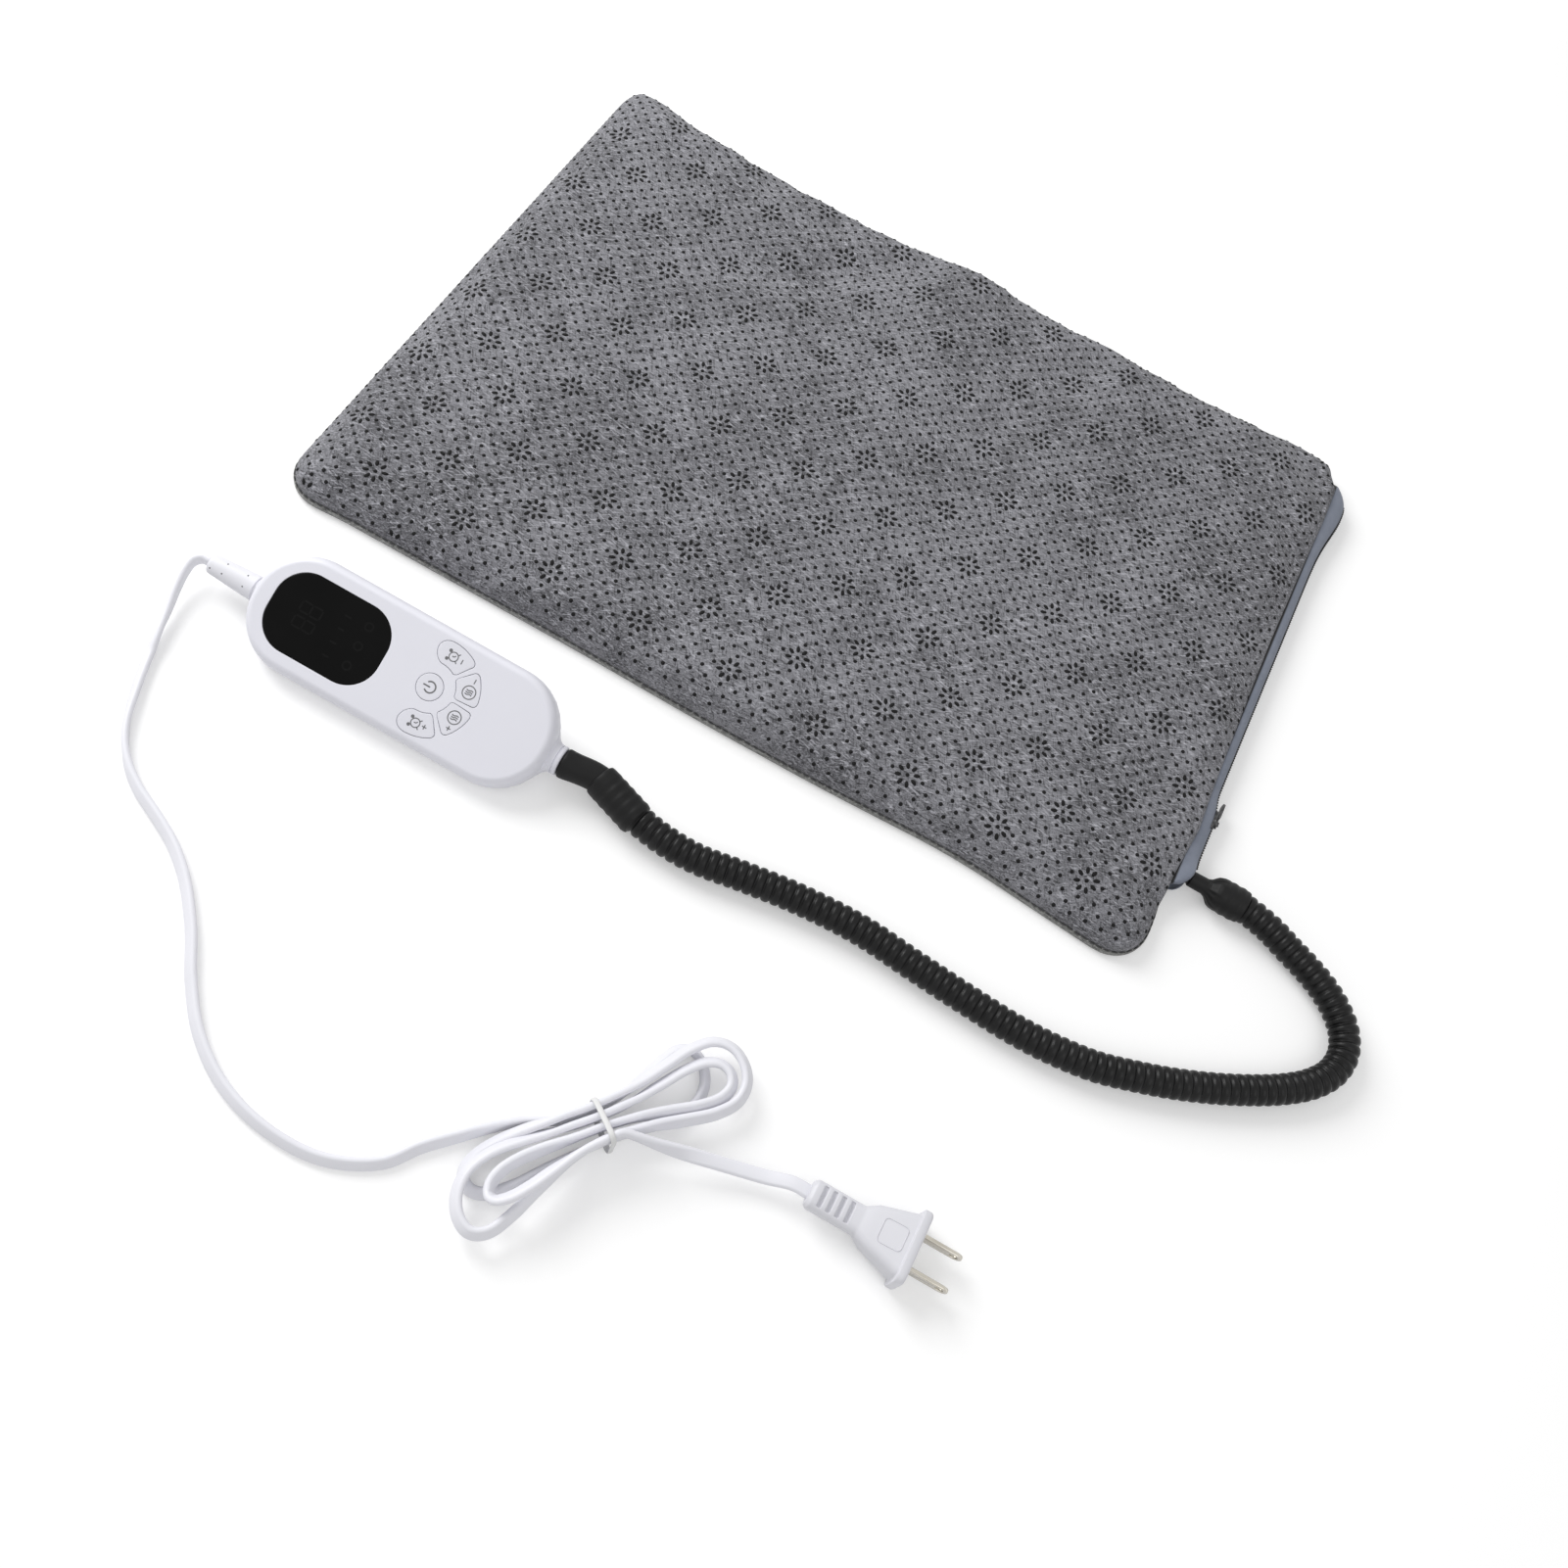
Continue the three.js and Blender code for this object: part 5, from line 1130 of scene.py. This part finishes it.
case_white = moulded("case_white", 0.76, 0.42)
parting = 0.00015
lip = 0.00016
clearance = 0.0002
land = 0.0003
shell = Shell()
outside = shell.loft([
    shell.ring(case_outline(-parting), parting), shell.ring(case_outline(0), 0.0008),
    *shell.eased(case_outline, 0, face_height, rim_reach, rim_height, 9),
    shell.ring(case_outline(-rim_reach - land), face_height),
])
inner_reach, inner_height, ceiling = rim_reach - case_wall, rim_height - case_wall, face_height - case_wall
inside = shell.loft([
    shell.ring(case_outline(-case_wall), parting),
    *shell.eased(case_outline, -case_wall, ceiling, inner_reach, inner_height, 5),
])
shell.join(outside[0], inside[0])
upper_holes, lower_holes = [], []
for outline_at in (window_outline, *key_outlines.values()):
    hole = shell.loft([
        shell.ring(outline_at(clearance + lip + land), face_height),
        *shell.eased(outline_at, clearance, face_height, -lip, lip, 4)[::-1],
        shell.ring(outline_at(clearance), ceiling),
    ])
    upper_holes.append(hole[0])
    lower_holes.append(hole[-1])
shell.plate(outside[-1], upper_holes)
shell.plate(inside[-1], lower_holes)
placed(shell.finish("controller_upper_shell", case_white), "white_case", "controller_top_shell")
softened("controller_bottom_shell", 0.0004, case_white, "white_case")

# Window: a gloss black acrylic pane, flush with the face, through which the unlit display just shows.
pane_gloss = Finish("window_gloss", Roughness=0.12, Specular_IOR_Level=0.05)
pane_gloss.colour(pane_gloss.noise(60, 2), grey(0.0035), grey(0.006))
pane_gloss.bump(pane_gloss.noise(18, 1), 0.00002, 0.4)
pane_thickness, pane_edge, pane_border = 0.0014, 0.0003, 0.0009
shell = Shell()
shell.closed([
    shell.ring(window_outline(0), face_height - pane_thickness),
    *shell.eased(window_outline, 0, face_height, pane_edge, pane_edge, 4),
    shell.ring(window_outline(-pane_border), face_height),
])
placed(shell.finish("display_pane", pane_gloss.material), "window_black", "display_window")

# Printed marks: flat strokes of ink, drawn in the plane of the controller's face.
ink_proud = 0.00003


def arc(centre, radius, low, high, count=33):
    return [
        (centre[0] + radius * math.cos(a), centre[1] + radius * math.sin(a))
        for a in np.radians(np.linspace(low, high, count))
    ]


def strokes(name, lines, width, height, material):
    """Flat ribbons along lines of points. One of two points has round ends, and one of one point is a dot."""
    shape = bmesh.new()
    for line in lines:
        line = [Vector(point) for point in line]
        if len(line) < 3:
            edge = arc(line[0], width / 2, 0, 360, 17)[:-1]
            if len(line) == 2:
                ahead = line[1] - line[0]
                heading = math.degrees(math.atan2(ahead.y, ahead.x))
                edge = arc(line[1], width / 2, heading - 90, heading + 90, 7)
                edge += arc(line[0], width / 2, heading + 90, heading + 270, 7)
            shape.faces.new([shape.verts.new((*point, height)) for point in edge])
            continue
        pairs = []
        for k, point in enumerate(line):
            ahead = line[min(k + 1, len(line) - 1)] - line[max(k - 1, 0)]
            side = Vector((-ahead.y, ahead.x)).normalized() * width / 2
            pairs.append([shape.verts.new((*(point + way * side), height)) for way in (-1, 1)])
        for (low, high), (next_low, next_high) in zip(pairs, pairs[1:]):
            shape.faces.new((low, next_low, next_high, high))
    made = from_shape(name, shape, material)
    for polygon in made.data.polygons:
        if polygon.normal.z < 0:
            polygon.flip()
    made.data.transform(case_matrix)
    return made


ghost = Finish("display_ghost", Roughness=0.15, Specular_IOR_Level=0.05)
ghost.colour(ghost.noise(300, 2), grey(0.0065), grey(0.0105))
segments = []
digit_height, digit_width, digit_x = 0.0088, 0.0042, -0.0408
inset = 0.0006
for digit_y in (0.0031, -0.0031):
    top, middle, low = (digit_x + share * digit_height for share in (-0.5, 0, 0.5))
    left, right = digit_y + digit_width / 2, digit_y - digit_width / 2
    segments += [[(x, left - inset), (x, right + inset)] for x in (top, middle, low)]
    for y in (left, right):
        segments += [[(a + inset, y), (b - inset, y)] for a, b in ((top, middle), (middle, low))]
for y in (0.0085, 0.0, -0.0085):
    segments.append(arc((-0.0182, y), 0.0016, 0, 360))
for y in (0.0080, 0.0024, -0.0034, -0.0092):
    segments.append([(-0.0284, y), (-0.0262, y)])
segment_width, segment_proud = 0.0007, 0.00001
ghosts = strokes("display_segments", segments, segment_width, face_height + segment_proud, ghost.material)
placed(ghosts, "window_black")

# Keys: five caps of the same white ABS, standing just proud of the face, with dark printed symbols.
# The power key has a broken ring and bar, the timer keys a clock, and the heat keys a ring with warm air.
key_white = moulded("key_white", 0.735, 0.46)
ink = Finish("symbol_ink", Roughness=0.55)
ink.colour(ink.noise(1500, 2), grey(0.10, 0.05), grey(0.16, 0.05))
key_top = face_height + 0.0001


def clock_symbol(x, y):
    """A clock with two bells and feet; its top points to the window end."""
    lines = [arc((x, y), 0.0018, 0, 360), [(x - 0.0006, y), (x + 0.0002, y), (x + 0.0008, y + 0.0007)]]
    for side in (1, -1):
        lines.append([(x - 0.0019, y + side * 0.0014), (x - 0.0023, y + side * 0.0018)])
        lines.append([(x + 0.0014, y + side * 0.0013), (x + 0.0020, y + side * 0.0019)])
    return lines


def warm_air_symbol(x, y):
    waves = []
    for shift in (-0.0008, 0, 0.0008):
        waves.append([
            (x + along, y + shift + 0.00022 * math.sin(along / 0.0026 * 2 * math.pi))
            for along in np.linspace(-0.0014, 0.0014, 13)
        ])
    return [arc((x, y), 0.0026, 0, 360), *waves]


def sign_symbol(x, y, sign):
    bar = [(x, y - 0.0008), (x, y + 0.0008)]
    return [bar] if sign == "minus" else [bar, [(x - 0.0008, y), (x + 0.0008, y)]]


power_bar = [(key_centre - 0.0025, 0), (key_centre, 0)]
symbols = {"power": [arc((key_centre + 0.0002, 0), 0.0022, -138, 138), power_bar]}
bells = {}
for sign, side in (("minus", 1), ("plus", -1)):
    clock_y = side * 0.0145
    symbols[f"timer_{sign}"] = clock_symbol(0.0157, clock_y) + sign_symbol(0.0195, side * 0.0143, sign)
    bells[f"timer_{sign}"] = [[(0.0136, clock_y + way * 0.0017)] for way in (1, -1)]
    air = warm_air_symbol(0.0277, side * 0.0055)
    symbols[f"heat_{sign}"] = air + sign_symbol(0.0277, side * 0.0102, sign)

key_edge, key_border, flange = 0.0002, 0.0007, 0.0005
power_line, symbol_line, bell_size = 0.0006, 0.00042, 0.0014
flange_low, flange_high = ceiling - 0.0011, ceiling - 0.0003
for key, outline_at in key_outlines.items():
    body = f"{key}_key"
    shell = Shell()
    shell.closed([
        shell.ring(outline_at(flange), flange_low), shell.ring(outline_at(flange), flange_high),
        shell.ring(outline_at(0), flange_high), *shell.eased(outline_at, 0, key_top, key_edge, key_edge, 5),
        shell.ring(outline_at(-key_border), key_top),
    ])
    placed(shell.finish(f"{key}_key_cap", key_white), "white_key", body, body=body)
    width = power_line if key == "power" else symbol_line
    print_height = key_top + ink_proud
    symbol = strokes(f"{key}_symbol", symbols[key], width, print_height, ink.material)
    placed(symbol, "window_black", body=body)
    if key in bells:
        bell_height = print_height + 0.00001
        pair = strokes(f"{key}_symbol_bells", bells[key], bell_size, bell_height, ink.material)
        placed(pair, "window_black", body=body)

# Neck and bush: the white neck flares out of the case to take the hose's boot, with a ring line round it.
# At the other end a tapered bush of soft white vinyl guards the mains cord.
outlet_height = -0.0005


def turned_end(name, stations, spread, material, sides=56):
    """A turned piece along the controller's X; spread(x) widens it sideways, where it runs into the case."""
    shell = Shell()
    rings = shell.loft([
        [shell.mesh.verts.new((x, y * spread(x), z + outlet_height)) for y, z in ring(radius, sides)]
        for x, radius in stations
    ])
    for end in (rings[0], rings[-1]):
        shell.mesh.faces.new(end)
    return shell.finish(name, material)


neck_stations = metres(
    (54, 5.9), (60, 6), (63.6, 6), (64.8, 6), (65.8, 6), (66.6, 6.05), (67.4, 6.1), (67.85, 6.1),
    (67.95, 5.75), (68.25, 5.75), (68.35, 6.1), (69.2, 6.2), (69.7, 6.1), (70, 5.8), (70.1, 5.4),
)


def neck_flare(x):
    return 1 + 1.15 * between(x, 0.0680, 0.0624) ** 2.2


neck = turned_end("hose_neck", neck_stations, neck_flare, case_white)
placed(neck, "white_case", "hose_collar")

bush_spread = 1.06
bush_stations = metres(
    (-56, 4.6), (-64, 4.9), (-66.2, 5), (-66.4, 4.5), (-67, 4.5), (-67.2, 5), (-69, 4.95), (-75.2, 4.6),
    (-81.6, 4.2), (-86.4, 3.9), (-87.5, 3.7), (-87.9, 3.2),
)
bush = turned_end("mains_bush_soft", bush_stations, lambda x: bush_spread, vinyl("bush_white", 0.78, 0.45))
placed(bush, "white_cord", "mains_bush")

# Dimples on the bush: flattened domes sunk into its skin and coloured dark, as painted shade in the pits.
pit_shade_finish = Finish("pit_shadow", Roughness=0.8)
pit_shade_finish.colour(pit_shade_finish.noise(3000, 1), grey(0.06), grey(0.11))
pit_radius, pit_depth = 0.00042, 0.0001
pits = bmesh.new()
for x, angle in ((-0.0712, 56), (-0.0709, 113), (-0.0806, 50), (-0.0806, 111), (-0.0860, 118)):
    radius = np.interp(-x, *zip(*((-along, size) for along, size in bush_stations)))
    a = math.radians(angle)
    out = Vector((0, bush_spread * math.cos(a), math.sin(a)))
    seat = Matrix.Translation(Vector((x, 0, outlet_height)) + out * (radius - pit_depth))
    turn = out.to_track_quat("Z", "Y").to_matrix().to_4x4()
    flattened = seat @ turn @ Matrix.Diagonal((1, 1, 0.4, 1))
    bmesh.ops.create_uvsphere(pits, u_segments=10, v_segments=6, radius=pit_radius, matrix=flattened)
pit_shade_marks = from_shape("bush_dimples", pits, pit_shade_finish.material)
pit_shade_marks.data.transform(case_matrix)
placed(pit_shade_marks, "white_cord")


# Inside the case and the bag: bag and wadding are dressed, and the rest of what doesn't show keeps its solids
# and has a finish of its own.
def plain(name, colour, roughness, spot, metallic=0.0):
    finish = Finish(name, Metallic=metallic)
    cloud = finish.noise(spot, 3)
    low = tuple(0.8 * c for c in colour)
    finish.colour(cloud, (*low, 1), (*colour, 1))
    finish.drive("Roughness", cloud * 0.2 + (roughness - 0.1))
    finish.bump(cloud, 0.00003)
    return finish.material


bag_white = plain("bag_white", (0.72, 0.74, 0.76), 0.6, 900)
wadding_cream = plain("wadding_cream", (0.78, 0.75, 0.68), 0.95, 500)
for node, material, width, slot in (
    ("inner_bag_tray", bag_white, 0.0002, "inner_bag"), ("inner_bag_lid", bag_white, 0.0002, "inner_bag"),
    ("lower_felt", wadding_cream, 0.0006, "wadding"), ("upper_felt", wadding_cream, 0.0006, "wadding"),
):
    layer = softened(node, width, material, slot)

switch_black = plain("switch_black", (0.02, 0.02, 0.022), 0.5, 900)
finishes = {
    "heating_wire": plain("wire_red", (0.45, 0.03, 0.02), 0.4, 700),
    "thermostat": switch_black,
    "thermal_fuse": plain("fuse_ceramic", (0.66, 0.62, 0.5), 0.45, 1000),
    "lead_gland": rubber("gland_black", 0.018, 0.55, 1500),
    "circuit_board": plain("board_green", (0.03, 0.14, 0.05), 0.5, 1200),
    "display_module": plain("module_black", (0.012, 0.018, 0.014), 0.3, 800),
    "relay": plain("relay_blue", (0.02, 0.07, 0.26), 0.4, 800),
    "capacitor": plain("capacitor_sleeve", (0.015, 0.017, 0.03), 0.3, 600),
    "board_fuse": plain("fuse_glass", (0.6, 0.63, 0.62), 0.2, 500),
}
screw_steel = plain("screw_steel", (0.42, 0.42, 0.43), 0.35, 1500, metallic=1.0)
for name, node in frame["nodes"].items():
    if name.startswith("case_screw"):
        finishes[name] = screw_steel
    elif name.endswith("_switch"):
        finishes[name] = switch_black
    if name in finishes:
        node.data.materials.clear()
        node.data.materials.append(finishes[name])


# Studio: a pale floor under a large softbox and an even white sky. What the camera sees of the floor is
# lifted to white where nothing shades it, so the soft shadow of the object stays.
def seen(tree):
    """1 for what the camera sees, straight, mirrored or through glass, and 0 for light on the object."""
    ray = tree.node("ShaderNodeLightPath")
    rays = ray + ray.output("Is Glossy Ray") + ray.output("Is Transmission Ray")
    return rays.math("MINIMUM", 1.0)


floor_finish = Finish("floor_pale", Roughness=0.9, Specular_IOR_Level=0.1, Emission_Strength=1.0)
floor_finish.colour(floor_finish.noise(2, 2), grey(0.80), grey(0.82))
far_off = floor_finish.node("ShaderNodeVectorMath", {0: floor_finish.place}, "Value", operation="LENGTH")
near_lift, far_lift = 0.26, 0.8
lift = far_off.ramp(0.6, 1.2) * far_lift + near_lift
floor_finish.drive("Emission Color", seen(floor_finish) * lift)
floor_half = 4.0
floor = piece(
    "floor", [(x * floor_half, y * floor_half, 0) for x, y in ((-1, -1), (1, -1), (1, 1), (-1, 1))],
    [(0, 1, 2, 3)], floor_finish.material,
)

sky = bpy.data.worlds.new("sky")
sky.use_nodes = True
scene.world = sky
background = sky.node_tree.nodes["Background"]
background.inputs["Color"].default_value = (1, 1, 1, 1)
sky_light = 0.56
brightness = seen(NodeTree(sky.node_tree)) * (1 - sky_light) + sky_light
sky.node_tree.links.new(brightness.socket, background.inputs["Strength"])

for name, place, wide_by, watts in (
    ("softbox", (-1.15, 0.3, 0.95), 1.0, 17.5),
    ("fill", (0.8, -0.8, 1.2), 1.0, 3.0),
):
    lamp_data = bpy.data.lights.new(name, "AREA")
    lamp_data.shape = "DISK"
    lamp_data.size = wide_by
    lamp_data.energy = watts
    lamp = bpy.data.objects.new(name, lamp_data)
    lamp.location = place
    lamp.rotation_euler = (Vector((0, -0.1, 0)) - Vector(place)).to_track_quat("-Z", "Y").to_euler()
    scene.collection.objects.link(lamp)

scene.view_settings.view_transform = "Standard"
